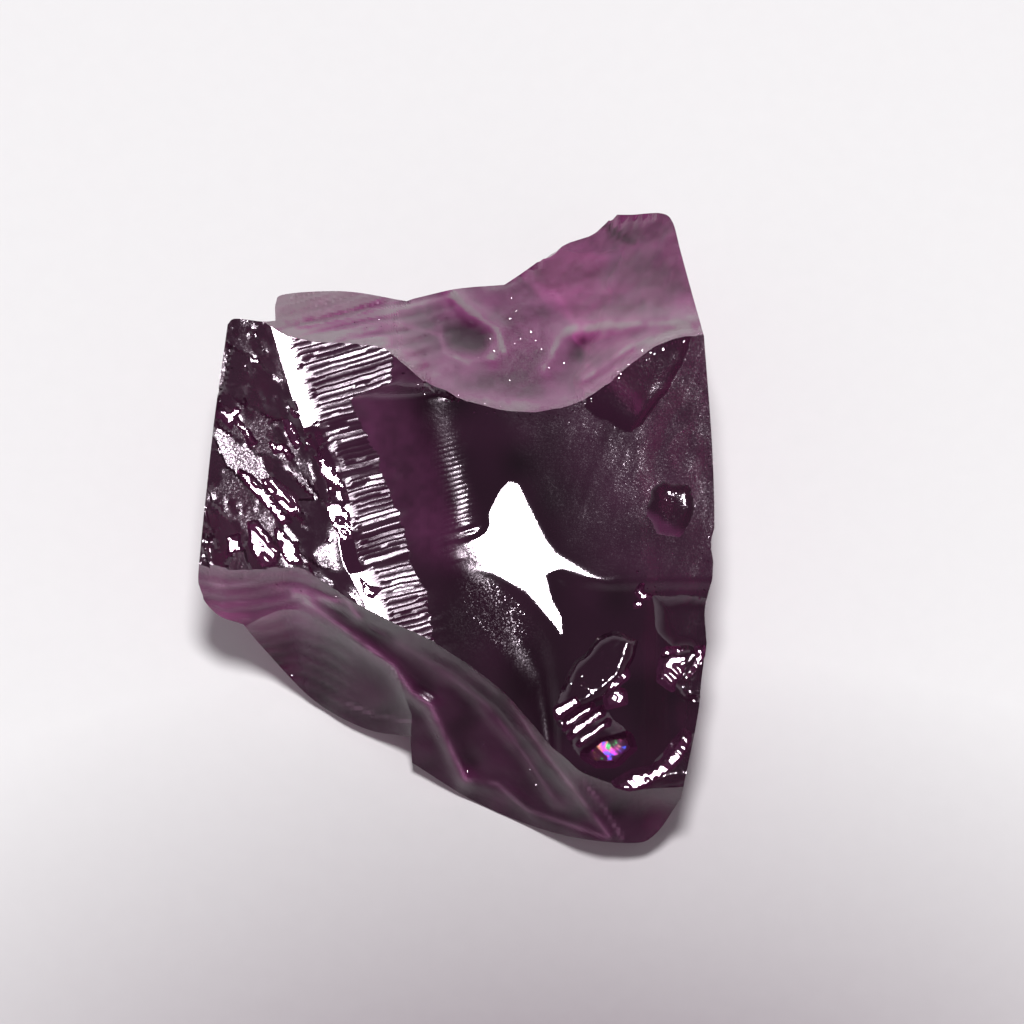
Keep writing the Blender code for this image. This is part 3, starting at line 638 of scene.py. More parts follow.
def painted_streaks(x, y, lines, seed):
    """Painted highlight lines, and painted shade lines where their height is below zero, broken unevenly
    along their length.
    """
    return ridges(x, y, lines) * np.clip(0.75 + 0.7 * noise(x, y, 0.5, seed), 0, 1)


def ragged(x, seed):
    """How far an arris is nicked back at x."""
    bites = noise(x, 0 * x, 0.45, seed) + 0.6 * noise(x, 0 * x + 3, 0.17, seed)
    return NICK_DEPTH * np.maximum(bites, 0) ** 1.5


def along_arris(x, arris):
    """Level of the table along an arris, smoothed so that the wall below it runs even."""
    stations = spaced(-16, 16, 0.5)
    heights = table(stations, blended(stations, arris))
    return blended(x, list(zip(stations, heights)), ARRIS_SMOOTHING)


def waves(distance, pitch, height):
    return height * np.sin(2 * np.pi * distance / pitch)


def hollow_relief(x, y):
    """The ridges and bowls of the hollow, and apart from them the folds at its left."""
    line = y - 0.21 * x + 0.25 * noise(x, y, 2.5, 3)
    folds = waves(line, FOLD_PITCH, FOLD_DEPTH) + waves(line, FINE_FOLD_PITCH, FINE_FOLD_DEPTH)
    turned = 0.8 * x + 0.6 * y, 0.8 * y - 0.6 * x
    swirl = x + 0.15 * noise(*turned, 1.4, 4), y + 0.15 * noise(*turned, 1.4, 5)
    relief = ridges(*swirl, HOLLOW_RIDGES)
    for centre, spread, depth in HOLLOW_PITS:
        relief = relief - depth * hump(*swirl, centre, spread)
    clouds = noise(turned[0] / 2, turned[1], 0.9, 6) + 0.5 * noise(turned[0] / 2, turned[1], 0.4, 7)
    return relief + CLOUD_HEIGHT * clouds, folds * eased(-x, *FOLDS_END)


def wall_fall(down, slope, drop, reach):
    """How far a wall has fallen at a distance past its arris, steepest just under it."""
    return slope * down + drop * (1 - np.exp(-down / reach))


def upper_hollow(x, beyond):
    """Steep under the table's upper arris, then flattening towards the back."""
    y = blended(x, UPPER_ARRIS) - ragged(x, 21) * eased(-beyond, *NICKS_END) + beyond
    fall = np.where(beyond > 0, wall_fall(np.maximum(beyond, 0), *HOLLOW_FALL), HOLLOW_CLEARS * beyond)
    relief, folds = hollow_relief(x, y)
    for line, drop, slope in LEDGES:
        past = behind(x, y, line)
        relief = relief + np.where(past > 0, slope * past - drop * eased(past, 0, LEDGE_STEP), 0)
    rough_part = eased(noise(x, y, 3.1, 32), -0.1, 0.6)
    relief = relief + 0.05 * scallops(x, y, 0.5, 1.0, 31, HOLLOW_TURN, 2.0) * rough_part
    relief = relief * eased(beyond, 0.1, 1.2) + folds * eased(beyond, 0.05, 0.5)
    return y, along_arris(x, UPPER_ARRIS) - fall + relief


def front_relief(x, y):
    """Ridges, creases and flow lines of the long wall."""
    below = blended(x, FRONT_ARRIS) - y
    warp = 0.3 * noise(x, y, 2.0, 41)
    line = below + 0.1 * x
    flow = waves(line + warp, 0.62, 0.045) * eased(-x, 4.5, 6.5)
    fine = waves(line + 0.6 * warp, 0.23, 0.012) * eased(-x, 3.5, 5.5)
    broad = 0.1 * noise(x + y, 1.6 * y - x, 1.7, 43) + 0.02 * noise(x, y, 0.7, 42)
    creases = ridges(x + 0.15 * noise(x, y, 1.0, 44), y, FRONT_CREASES)
    return flow + fine + broad + creases


def front_wall(x, below):
    """A rounded shoulder under the table's front arris, then a long hollow wall."""
    y = blended(x, FRONT_ARRIS) + ragged(x, 22) * eased(-below, *NICKS_END) - below
    fall = np.where(below > 0, wall_fall(np.maximum(below, 0), *FRONT_FALL), FRONT_CLEARS * below)
    relief = ridges(x, y, FRONT_RIDGES) * eased(below, 0.3, 1.2)
    relief = relief + front_relief(x, y) * eased(below, 0.15, 0.9)
    return y, along_arris(x, FRONT_ARRIS) - fall + relief


def front_wall_at(x, y):
    return front_wall(x, blended(x, FRONT_ARRIS) - y)[1]


def scoop(x, y):
    inside = depth_inside(x, y, SCOOP)
    hollow = SCOOP_DEPTH * (1 - np.exp(-np.maximum(inside, 0) / SCOOP_REACH))
    return front_wall_at(x, y) - np.where(inside > 0, hollow, SCOOP_RIM_SLOPE * inside)


def tip(x, y):
    return front_wall_at(x, y) - TIP_SLOPE * depth_inside(x, y, TIP)


def bowl(inside, depth, reach):
    """How deep a chip is at a distance in from its rim."""
    return depth * (1 - np.clip(1 - inside / reach, 0, 1) ** 2)


def chip(name, outline, depth, reach):
    """A shallow bowl with a wavering rim, flaky in the crumbled chips and smooth in the others."""

    def surface(x, y):
        warped = x + CHIP_WARP * noise(x, y, 0.8, 51), y + CHIP_WARP * noise(x, y, 0.8, 52)
        inside = depth_inside(*warped, outline) + 0.03 * noise(x, y, 0.25, 55)
        broken = flakes(x, y, 0.4, 0.05, 53) if name in CRUMBLED else 0.03 * noise(x, y, 1.3, 54)
        sunk = np.where(inside > 0, bowl(inside, depth, reach), CHIP_RIM_SLOPE * inside)
        return table(x, y) - sunk + broken

    return surface


def lamp_facet(outline, depth, torn=FACET_TORN):
    """A facet at the star's angle, sunk so far under the table at its middle, and torn in places."""
    cx, cy = np.mean(outline, axis=0)
    level = float(table(np.array(cx), np.array(cy))) + TABLE_SLOPE * cy - depth
    turn = math.cos(SCALE_TURN), math.sin(SCALE_TURN)

    def surface(x, y):
        inside = depth_inside(x + 0.06 * noise(x, y, 0.3, 56), y, outline)
        along, aside = x * turn[0] + y * turn[1], y * turn[0] - x * turn[1]
        tear = torn * eased(noise(along / 4, aside, 0.16, 57), 0.3, 0.6)
        return -TABLE_SLOPE * y + level - tear - np.where(inside > 0, 0, FACET_RIM_SLOPE * inside)

    return surface


def shell_break(centre, radius, ripple):
    """A hollow round centre, with rings round it that die away."""

    def surface(x, y):
        r = np.hypot(x - centre[0], y - centre[1])
        rings = ripple * np.cos(2 * np.pi * r / RIPPLE_PITCH) * np.exp(-r / (4 * RIPPLE_PITCH))
        fine = 0.05 * noise(x, y, 1.6, 61) + 0.04 * scallops(x, y, 1.1, 1.0, 62, 0.4, 2.5)
        return r**2 / (2 * radius) + rings + fine

    return surface


def spaced(low, high, step):
    return np.linspace(low, high, round((high - low) / step) + 1)


def table_frame():
    lean = Matrix.Rotation(math.radians(TABLE_LEAN), 4, "X")
    return Matrix.Translation(Vector(TABLE_CENTRE) * MM) @ lean


def frame_at(point, facing):
    """Matrix of a plane that faces out along facing, through a point off the table's foot."""
    out = Vector(facing).normalized()
    across = Vector((0, 0, 1)).cross(out).normalized()
    matrix = Matrix((across, out.cross(across), out)).transposed().to_4x4()
    matrix.translation = (Vector(point) + Vector((TABLE_CENTRE[0], TABLE_CENTRE[1], 0))) * MM
    return matrix


def curved(run):
    """Points along a Catmull-Rom curve through run, without its last point."""
    points = [Vector(p) for p in run]
    ends = [2 * points[0] - points[1], *points, 2 * points[-1] - points[-2]]
    steps = CURVE_STEPS if len(run) > 2 else 1
    made = []
    for a, b, c, d in zip(ends, ends[1:], ends[2:], ends[3:]):
        for t in np.arange(steps) / steps:
            bend = (2 * a - 5 * b + 4 * c - d) * t**2 + (3 * b - a - 3 * c + d) * t**3
            made.append((2 * b + (c - a) * t + bend) / 2)
    return made


def blank():
    """The outline drawn out square to the table, and broken off flat at the base."""
    points = [p for run in OUTLINE_RUNS for p in curved(run)]
    bm = bmesh.new()
    ring = [bm.verts.new((p.x * MM, p.y * MM, -BLANK_BELOW * MM)) for p in points]
    face = bm.faces.new(ring)
    grown = bmesh.ops.extrude_face_region(bm, geom=[face])["geom"]
    for item in grown:
        if isinstance(item, bmesh.types.BMVert):
            item.co.z = BLANK_ABOVE * MM
    bm.transform(table_frame())
    geom = [*bm.verts, *bm.edges, *bm.faces]
    sawn = bmesh.ops.bisect_plane(bm, geom=geom, plane_co=(0, 0, 0), plane_no=(0, 0, 1), clear_inner=True)
    base_edges = [item for item in sawn["geom_cut"] if isinstance(item, bmesh.types.BMEdge)]
    bmesh.ops.contextual_create(bm, geom=base_edges)
    bmesh.ops.recalc_face_normals(bm, faces=bm.faces)
    mesh = bpy.data.meshes.new("blank")
    bm.to_mesh(mesh)
    bm.free()
    mark(mesh, BLANK_LOOKS)
    stone = bpy.data.objects.new("alexandrite_stone", mesh)
    bpy.context.scene.collection.objects.link(stone)
    return stone


def mark(mesh, looks):
    """Every face carries its looks: see LOOKS."""
    for name in LOOKS:
        attribute = mesh.attributes.new(name, "FLOAT", "FACE")
        spread = np.broadcast_to(np.asarray(looks.get(name, 0.0), np.float32), (len(mesh.polygons),))
        attribute.data.foreach_set("value", np.ascontiguousarray(spread))


def on_cells(look, x, y, extra):
    """Values of a look on the cells of a sheet, and on the extra faces that close its cutter."""
    middle_x, middle_y = (x[:-1, :-1] + x[1:, 1:]) / 2, (y[:-1, :-1] + y[1:, 1:]) / 2
    values = look(middle_x, middle_y) if callable(look) else np.full(middle_x.shape, look)
    return np.append(values.reshape(-1), np.full(extra, OFF_SHEET))


def fracture(name, matrix, across, along, surface, looks):
    """Cutter for all that lies outside a sheet, whose grid runs across and along."""
    columns, rows = len(across), len(along)
    u, v = np.meshgrid(across, along, indexing="ij")
    x, y, z = (np.broadcast_to(part, u.shape) for part in surface(u, v))
    place = np.stack([x, y, z], -1).reshape(-1, 3) * MM
    index = np.arange(columns * rows).reshape(columns, rows)
    quads = np.stack([index[:-1, :-1], index[1:, :-1], index[1:, 1:], index[:-1, 1:]], -1).reshape(-1, 4)
    rim = np.concatenate([index[:, 0], index[-1, 1:], index[-2::-1, -1], index[0, -2:0:-1]])
    top = place[rim].copy()
    top[:, 2] = CUTTER_REACH * MM
    first = len(place)
    raised = np.arange(first, first + len(rim))
    walls = np.stack([rim, raised, np.roll(raised, -1), np.roll(rim, -1)], -1)
    mesh = bpy.data.meshes.new(name)
    mesh.from_pydata(np.concatenate([place, top]), [], [*quads.tolist(), *walls.tolist(), raised.tolist()])
    extra = len(walls) + 1
    mark(mesh, {key: on_cells(look, x, y, extra) for key, look in looks.items()})
    bm = bmesh.new()
    bm.from_mesh(mesh)
    bmesh.ops.recalc_face_normals(bm, faces=bm.faces)
    bm.to_mesh(mesh)
    bm.free()
    cutter = bpy.data.objects.new(name, mesh)
    cutter.matrix_world = matrix
    bpy.context.scene.collection.objects.link(cutter)
    return cutter


def over(surface):
    """Sheet of a surface given as z = surface(x, y)."""
    return lambda x, y: (x, y, surface(x, y))


def scaly_sheet(s, y):
    x = blended(y, CREST) + s / CREST_COS
    small = flakes(x, y, 0.55, 0.12, 71, SCALE_TURN, 3.0) * eased(noise(x, y, 1.7, 72), 0.0, 0.3)
    crumbs = flakes(x, y, 0.3, 0.25, 73) * eased(noise(x, y, 1.2, 74) - 0.25 * (x + 12.0), 0.1, 0.6)
    swell = 0.03 * noise(x, y, 1.5, 75)
    relief = (scales(x, y) + small + swell) * eased(-s, CREST_STRIP, CREST_STRIP + 0.6) + crumbs
    return x, y, scaly_side(x, y) + relief * eased(-s, 0.3, 0.6)


def crest_chips(x, y):
    """Splinters along the middle of the crest, where it broke ragged."""
    splinters = flakes(x, y, 0.4, 0.16, 85, SCALE_TURN - 0.2, 2.5)
    return splinters * eased(y, 1.0, 1.5) * eased(-y, -5.2, -4.7)


def comb_rows():
    """Three rows to a tooth: both edges of its land, and the foot of the groove beside it."""
    starts = -8 + COMB_PITCH * np.arange(round(21 / COMB_PITCH))
    return (starts[:, None] + COMB_PITCH * np.array([0, COMB_LAND, (1 + COMB_LAND) / 2])).reshape(-1)


def comb_sheet(s, row):
    """Rows run across the strip; the flat lands between its grooves shine where they lie right."""
    x = blended(row, CREST) + s / CREST_COS
    wander = 0.07 * noise(x, row, 1.6, 81) + 0.03 * noise(x, row, 0.5, 82)
    y = row + COMB_TILT * s + wander
    step = np.broadcast_to(np.arange(row.shape[1]), row.shape)
    tooth, part = step // 3, step % 3
    chance = np.random.default_rng(83).uniform(0, 1, (2, row.shape[1]))
    start = 0.1 + 0.5 * chance[0][tooth]
    depth = COMB_DEPTH * (0.5 + chance[1][tooth]) * eased(s, start, start + 0.25)
    dull = sum(along_run(-row, *run) for run in DULL_TEETH)
    lean = 0.09 * noise(x, 7.7 * tooth, 1.3, 84) + 0.13 * dull * (0.4 + chance[0][tooth])
    land = np.where(part == 0, -lean, lean) * COMB_LAND * COMB_PITCH / 2 * eased(s, 0.3, 0.6)
    strip = -DULL_LEAN * dull * (np.clip(s, -CREST_STRIP, 0.35) + CREST_STRIP)
    relief = np.where(part == 2, -depth, land) + crest_chips(x, y) * eased(0.5 - s, 0, 0.2)
    return x, y, comb_strip(x, y) + relief + strip


def comb_frost(x, y):
    """The crest strip is polished, and the comb beside it satiny."""
    return 0.05 + 0.7 * eased(right_of(x, y, CREST), 0.2, 0.5)


def comb_dull(x, y):
    """Some runs of teeth shine more than others."""
    lit = noise(0.5 * x, y - 0.3 * x, 0.75, 86)
    return np.clip(0.42 + 0.5 * lit * eased(right_of(x, y, CREST), 0.3, 0.7), 0, 0.9)


def second_comb(x, y):
    """How far the foot of the wall carries hackle too, at the left of the star."""
    return foot(x, y) * eased(y, -2.4, -0.8) * eased(-y, -5.6, -3.2)


def star_sheet(x, row):
    """Rows run up to the right with the hackle, and every third one is the foot of a groove."""
    y = row + HACKLE_TILT * x + 0.05 * noise(x, row, 1.1, 93)
    groove = np.broadcast_to(np.arange(row.shape[1]) % 3 == 0, row.shape)
    near = eased(-np.abs(right_of(x, y, COMB_EDGE)), -1.2, -0.2)
    frayed = x + 0.2 * near * noise(0.3 * x, row, HACKLE_CELL, 89)
    z = star_side(frayed, y) - HACKLE_DEPTH * groove * second_comb(x, y)
    off = np.maximum(-depth_inside(x, y, STAR), 0)
    away = eased(off, 0.0, 0.8)
    scratches = 0.006 * noise(x * 0.35 + y, 3.0 * (x - 0.35 * y), 0.9, 91) * eased(off, 0.8, 2.0)
    swell = 0.03 * noise(x, y, 2.6, 94) + 0.003 * noise(x, y, 0.9, 95)
    return x, y, z + (scratches + swell) * away


def right_flank(x, y):
    return eased(x + 0.35 * y, 3.0, 6.0) * eased(y, -4.5, -2.0)


def star_frost(x, y):
    """The flank right of the star is a little dulled, and so is the haze below it."""
    return 0.05 + 0.3 * right_flank(x, y) + 0.3 * hump(x, y, *STAR_HAZE) + 0.8 * foot(x, y)


def star_dull(x, y):
    """Reflections are weak along the foot of the wall."""
    return 0.85 * foot(x, y)


def star_glitter(x, y):
    """Fine glitter at the star's lower left, and fainter over the flank to its right."""
    off = eased(-depth_inside(x, y, STAR), 0.1, 0.8)
    return off * np.clip(0.55 * hump(x, y, *STAR_HAZE) + 0.02 * right_flank(x, y) + 0.04, 0, 1)


def star_glow(x, y):
    """Deep purple below the comb, nearly black round the star, and duller to its right."""
    left = eased(-right_of(x, y, COMB_EDGE), -4.5, -1.0) * eased(y, -3.0, 0.0)
    right = eased(x + 0.35 * y, 4.0, 9.0) * eased(y, -5.0, -2.0)
    mottled = left * (0.1 * noise(x, 0.5 * y, 0.9, 106) + 0.05 * noise(x, y, 0.3, 107))
    return 0.05 + 0.22 * left + 0.08 * right + 0.04 * noise(x, y, 1.7, 97) + mottled


def rim(x, y, width):
    """How near the hollow's rim is."""
    return beside(y - blended(x, UPPER_ARRIS), width)


def hollow_glow(x, y):
    """Painted sheen makes it pale along the rim, on the folds and on the lobe at the left, and painted
    light through the thin horn makes the horn rich; painted shade darkens the pits and painted light lifts
    the ridges.
    """
    past = behind(x, y, LOBE)
    left = eased(-x, 1.0, 5.0)
    lobe = 0.05 * eased(past, -0.1, 0.1) + 0.35 * eased(past, 0.45, 0.6)
    # painted sheen along the rim, over the left and on the lobe
    pale = 0.24 * rim(x, y, 0.7) + 0.26 * left + lobe
    # painted shade in the pits and folds, and painted light on the ridges, by the height of the relief
    painted_relief_shade = (0.35 + 0.5 * left) * np.clip(sum(hollow_relief(x, y)), -0.5, 0.5)
    sweep = noise(x + 0.5 * y, y * 2.2 - 0.4 * x, 1.8, 98)
    # painted highlight and shade lines, with a fine random tone
    painted_lines = painted_streaks(x, y, HOLLOW_PAINTED_STREAKS, 101) + 0.08 * noise(x, y, 0.3, 103)
    glow = 0.54 + 0.2 * hump(x, y, *HORN_PAINTED_LIGHT) + pale + 0.14 * sweep + painted_relief_shade + painted_lines
    return np.clip(glow, 0.15, 1)


def hollow_frost(x, y):
    """The lobe at the left is the mattest part, and the horn the glossiest."""
    lobe = 0.4 * eased(-x, 2.0, 5.0) + 0.9 * eased(behind(x, y, LOBE), -0.1, 0.2)
    return 0.8 + lobe - 0.3 * eased(x + y, 17.0, 22.0)


def hollow_dull(x, y):
    """Reflections are weakest on the horn."""
    horn, left = eased(x + y, 16.0, 20.0), eased(-x, 1.0, 5.0)
    painted_lines = painted_streaks(x, y, HOLLOW_PAINTED_STREAKS, 101)
    return np.clip(0.62 + 0.2 * horn - 0.62 * left - painted_lines - 0.4 * rim(x, y, 0.7), 0, 1)


def hollow_glitter(x, y):
    """A glittering field in the middle of the hollow and crumbs along its rim."""
    return np.clip(0.05 + 0.5 * hump(x, y, *HOLLOW_SPECKLE) + 0.4 * rim(x, y, 0.35), 0, 1)


def lip(x, y):
    return eased(-x, 6.0, 8.0) * eased(y, -6.5, -4.5)


def front_glow(x, y):
    """The lip is pale with a painted sheen, and the long wall under the table deep, with painted light and
    shade that follow the relief and painted highlight lines along the creases.
    """
    # painted light on raised flow lines and painted shade in the troughs between them
    painted_relief_shade = np.clip(front_relief(x, y), -0.3, 0.4)
    painted_lines = painted_streaks(x, y, FRONT_PAINTED_STREAKS, 102) + 0.03 * noise(x + y, 1.5 * y - x, 1.6, 99)
    return np.clip(0.13 + 0.38 * lip(x, y) + 0.7 * painted_relief_shade + 0.8 * painted_lines, 0.02, 1)


def front_dull(x, y):
    """The lip reflects a little more than the wall below it."""
    return np.clip(0.84 - 0.35 * lip(x, y) - 3.0 * painted_streaks(x, y, FRONT_PAINTED_STREAKS, 102), 0, 1)


def hidden_glow(x, y):
    """Uneven, as on the walls that show."""
    return 0.5 + 0.14 * noise(x + 0.5 * y, 1.8 * y, 3.2, 104) + 0.06 * noise(x, y, 0.9, 105)


def right_chip_glow(x, y):
    """The lower end of the chip at the right is pale where light comes out of it."""
    return 0.08 + 0.24 * eased(0.5 - y - 0.5 * (x - 10.8) + 0.2 * noise(x, y, 0.5, 98), -0.2, 0.5)


def table_breaks():
    """The three breaks of the table, on grids that follow the scales, the comb and the hackle."""
    plane = table_frame()
    offsets = np.append(spaced(-10.5, 0.3, 0.14), SHEET_END)
    comb_offsets = np.concatenate([[-12, -1.3], spaced(-0.6, 6.4, 0.175), [SHEET_END]])
    hackle_rows = spaced(-22, 15, COMB_PITCH / 3)
    comb = {"frost": comb_frost, "glow": 0.14, "dull": comb_dull}
    star = {"frost": star_frost, "glow": star_glow, "glitter": star_glitter, "dull": star_dull}
    return [
        fracture("scaly_break", plane, offsets, spaced(-8, 13, 0.14), scaly_sheet, SCALY),
        fracture("comb_break", plane, comb_offsets, comb_rows(), comb_sheet, comb),
        fracture("star_break", plane, spaced(-7, 17, 0.18), hackle_rows, star_sheet, star),
    ]


def wall_breaks():
    """The hollow and the front wall, with rows that crowd together under the arrises."""
    plane = table_frame()
    beyond = np.concatenate([[-1.6, -0.6, -0.2], spaced(-0.05, 1.0, 0.09), spaced(1.12, 7, WALL_CELL)])
    beyond = np.append(beyond, spaced(7.3, 13, 0.4))
    across = spaced(-16, 16, WALL_CELL)
    hollow = {"frost": hollow_frost, "glow": hollow_glow, "glitter": hollow_glitter, "dull": hollow_dull}
    front = {"frost": 0.8, "glow": front_glow, "glitter": 0.06, "dull": front_dull}
    low = spaced(-16, 0, LOW_CELL), spaced(-20, -2.5, LOW_CELL)
    toe = spaced(2, 17, LOW_CELL), spaced(-20, -8, LOW_CELL)
    return [
        fracture("upper_hollow_break", plane, across, beyond, under(upper_hollow), hollow),
        fracture("front_wall_break", plane, across, beyond, under(front_wall), front),
        fracture("scoop_break", plane, *low, over(scoop), front),
        fracture("tip_break", plane, *toe, over(tip), front),
    ]


def hidden_breaks():
    looks = {"frost": 0.6, "glow": hidden_glow, "dull": 0.4}
    cells = spaced(-26, 26, HIDDEN_CELL)
    return [
        fracture(name, frame_at(point, facing), cells, cells, over(shell_break(*shape)), looks)
        for name, (point, facing, *shape) in HIDDEN_BREAKS.items()
    ]


def small_breaks():
    """The chips of the table, and the facets and bars that mirror the lamp."""
    clear = {"frost": 0.2, "glow": right_chip_glow, "glitter": 0.1, "dull": 0.1}
    chip_looks = {"hollow_chip": FAINT, "right_chip": clear}
    made = []
    for name, (outline, depth, reach) in CHIPS.items():
        sheet = over(chip(name, outline, depth, reach))
        made.append(patch(name, outline, sheet, CHIP_CELL, chip_looks.get(name, DARK)))
    for name, (outline, depth) in LAMP_FACETS.items():
        looks = FLAW if name == "fire_flaw" else BRIGHT
        made.append(patch(name, outline, over(lamp_facet(outline, depth)), FACET_CELL, looks))
    for number, (x, y, length, width) in enumerate(STEP_BARS):
        outline = bar(x, y, length, width)
        sheet = over(lamp_facet(outline, STEP_DEPTH, 0))
        made.append(patch(f"step_{number}", outline, sheet, STEP_CELL, BRIGHT))
    return made


def hollow_at(x, y):
    return upper_hollow(x, y - blended(x, UPPER_ARRIS))[1]


def crumb_sites(chance):
    """Middles of the crumbs along the arrises and of the sparkles on the walls, with their levels."""
    for line, count in CRUMB_LINES:
        ends = np.array(line, float)
        lengths = np.append(0, np.cumsum(np.hypot(*np.diff(ends, axis=0).T)))
        stations = chance.uniform(0, lengths[-1], count)
        x, y = (np.interp(stations, lengths, ends[:, axis]) for axis in (0, 1))
        x, y = x + chance.normal(0, CRUMB_SCATTER, count), y + chance.normal(0, CRUMB_SCATTER, count)
        yield x, y, table(x, y) - CRUMB_DEPTH, CRUMB_SIZE
    x = chance.uniform(*RIM_SPAN, RIM_SPARKLES)
    y = blended(x, UPPER_ARRIS) + RIM_GAP + np.abs(chance.normal(0, RIM_SCATTER, RIM_SPARKLES))
    yield x, y, hollow_at(x, y), SPARKLE_SIZE
    for (cx, cy), (wide, tall), count, surface in SPARKLE_FIELDS:
        x, y = chance.normal(cx, wide, count), chance.normal(cy, tall, count)
        height = {"hollow": hollow_at, "front": front_wall_at, "scoop": scoop}[surface](x, y)
        yield x, y, height, SPARKLE_SIZE
    for name in CRUMBLED:
        outline, depth, reach = CHIPS[name]
        low, high = np.min(outline, axis=0), np.max(outline, axis=0)
        x = chance.uniform(low[0], high[0], CHIP_SPARKLES)
        y = chance.uniform(low[1], high[1], CHIP_SPARKLES)
        inside = depth_inside(x, y, outline)
        x, y, inside = (values[inside > CHIP_EDGE] for values in (x, y, inside))
        yield x, y, table(x, y) - bowl(inside, depth, reach) - SPARKLE_DEPTH, SPARKLE_SIZE


def crumbs():
    """Middle, level and outline of each crumb, clear of one another."""
    chance = np.random.default_rng(29)
    kept = []
    for xs, ys, levels, sizes in crumb_sites(chance):
        for x, y, level in zip(xs, ys, levels):
            middle = np.array([x, y])
            angles = np.arange(CRUMB_SIDES) * 2 * math.pi / CRUMB_SIDES
            angles = angles + chance.uniform(-0.4, 0.4, CRUMB_SIDES)
            size = chance.uniform(*sizes)
            radii = size * chance.uniform(0.5, 1.0, CRUMB_SIDES)
            clear = (np.hypot(*(middle - other)) > CRUMB_FLARE * (size + near) for other, near, *_ in kept)
            if all(clear):
                around = np.stack([radii * np.cos(angles), radii * np.sin(angles)], -1)
                kept.append((middle, size, level, around))
    return [(middle, level, around) for middle, _, level, around in kept]


def crumb_cutter():
    """One cutter for all the crumbs, each a small facet near the star's angle."""
    bm = bmesh.new()
    chance = np.random.default_rng(30)
    for middle, level, around in crumbs():
        drops = around @ (chance.normal(0, CRUMB_LEAN, 2) + np.array([0, -TABLE_SLOPE]))
        lower = [(x, y, level + drop) for (x, y), drop in zip(middle + around, drops)]
        upper = [(x, y, level + CRUMB_HEIGHT) for x, y in middle + CRUMB_FLARE * around]
        lower, upper = ([bm.verts.new(Vector(p) * MM) for p in ring] for ring in (lower, upper))
        bm.faces.new(lower[::-1])
        bm.faces.new(upper)
        for one in range(CRUMB_SIDES):
            two = (one + 1) % CRUMB_SIDES
            bm.faces.new((lower[one], lower[two], upper[two], upper[one]))
    mesh = bpy.data.meshes.new("crumbs")
    bm.to_mesh(mesh)
    bm.free()
    mark(mesh, BRIGHT)
    cutter = bpy.data.objects.new("crumbs", mesh)
    cutter.matrix_world = table_frame()
    bpy.context.scene.collection.objects.link(cutter)
    return cutter


def under(wall):
    """Sheet of a wall whose rows follow its arris."""
    return lambda x, down: (x, *wall(x, down))


def bar(x, y, length, width):
    """Outline of a thin bar that starts at x, y and rises to the right."""
    along = Vector((math.cos(STEP_TURN), math.sin(STEP_TURN)))
    aside = Vector((-along.y, along.x))
    corners = [(0.0, 0.0), (length, 0.1 * width), (length * 1.05, 0.7 * width), (0.15 * length, width)]
    return [tuple(Vector((x, y)) + along * a + aside * b) for a, b in corners]


def patch(name, outline, surface, cell, looks):
    xs, ys = np.array(outline).T
    across = spaced(xs.min() - CHIP_MARGIN, xs.max() + CHIP_MARGIN, cell)
    along = spaced(ys.min() - CHIP_MARGIN, ys.max() + CHIP_MARGIN, cell)
    return fracture(name, table_frame(), across, along, surface, looks)


def knocked_out(stone, cutters):
    """The blank with all that the fractures take away gone."""
    for cutter in cutters:
        boolean = stone.modifiers.new(cutter.name, "BOOLEAN")
        boolean.operation = "DIFFERENCE"
        boolean.solver = "MANIFOLD"
        boolean.object = cutter
    bpy.context.view_layer.update()
    evaluated = stone.evaluated_get(bpy.context.evaluated_depsgraph_get())
    mesh = bpy.data.meshes.new_from_object(evaluated)
    stone.modifiers.clear()
    stone.data = mesh
    for cutter in cutters:
        bpy.data.objects.remove(cutter)
    mesh.name = "alexandrite_stone"
    mesh.polygons.foreach_set("use_smooth", [True] * len(mesh.polygons))
    mesh.set_sharp_from_angle(angle=math.radians(SHARP_FROM))
    return stone


def feed(tree, shader, inputs):
    """Set a node's inputs to values, or link them to outputs."""
    for key, value in inputs.items():
        if isinstance(value, bpy.types.NodeSocket):
            tree.links.new(value, shader.inputs[key])
        else:
            shader.inputs[key].default_value = value


def node(tree, kind, inputs, output=0, **settings):
    """The output of a new node with these inputs and settings."""
    made = tree.nodes.new(kind)
    for name, setting in settings.items():
        setattr(made, name, setting)
    feed(tree, made, inputs)
    return made.outputs[output]


def carried(tree, name):
    """What the faces carry under a name from LOOKS."""
    return node(tree, "ShaderNodeAttribute", {}, "Fac", attribute_name=name)


def multiply_add(tree, value, factor, plus):
    return node(tree, "ShaderNodeMath", {0: value, 1: factor, 2: plus}, operation="MULTIPLY_ADD")


def mixed(tree, factor, one, two):
    """One colour or the other, by a factor."""
    return node(tree, "ShaderNodeMix", {0: factor, 6: one, 7: two}, 2, data_type="RGBA")


def vector_math(tree, operation, inputs):
    return node(tree, "ShaderNodeVectorMath", inputs, operation=operation)


def speckle(tree, place, scale, detail, rough=0.5):
    inputs = {"Vector": place, "Scale": scale, "Detail": detail, "Roughness": rough}
    return node(tree, "ShaderNodeTexNoise", inputs, "Fac")


def ranged(tree, value, source, target):
    """A value moved from one range to another."""
    names = ("From Min", "From Max", "To Min", "To Max")
    inputs = {"Value": value, **dict(zip(names, (*source, *target)))}
    return node(tree, "ShaderNodeMapRange", inputs, "Result")


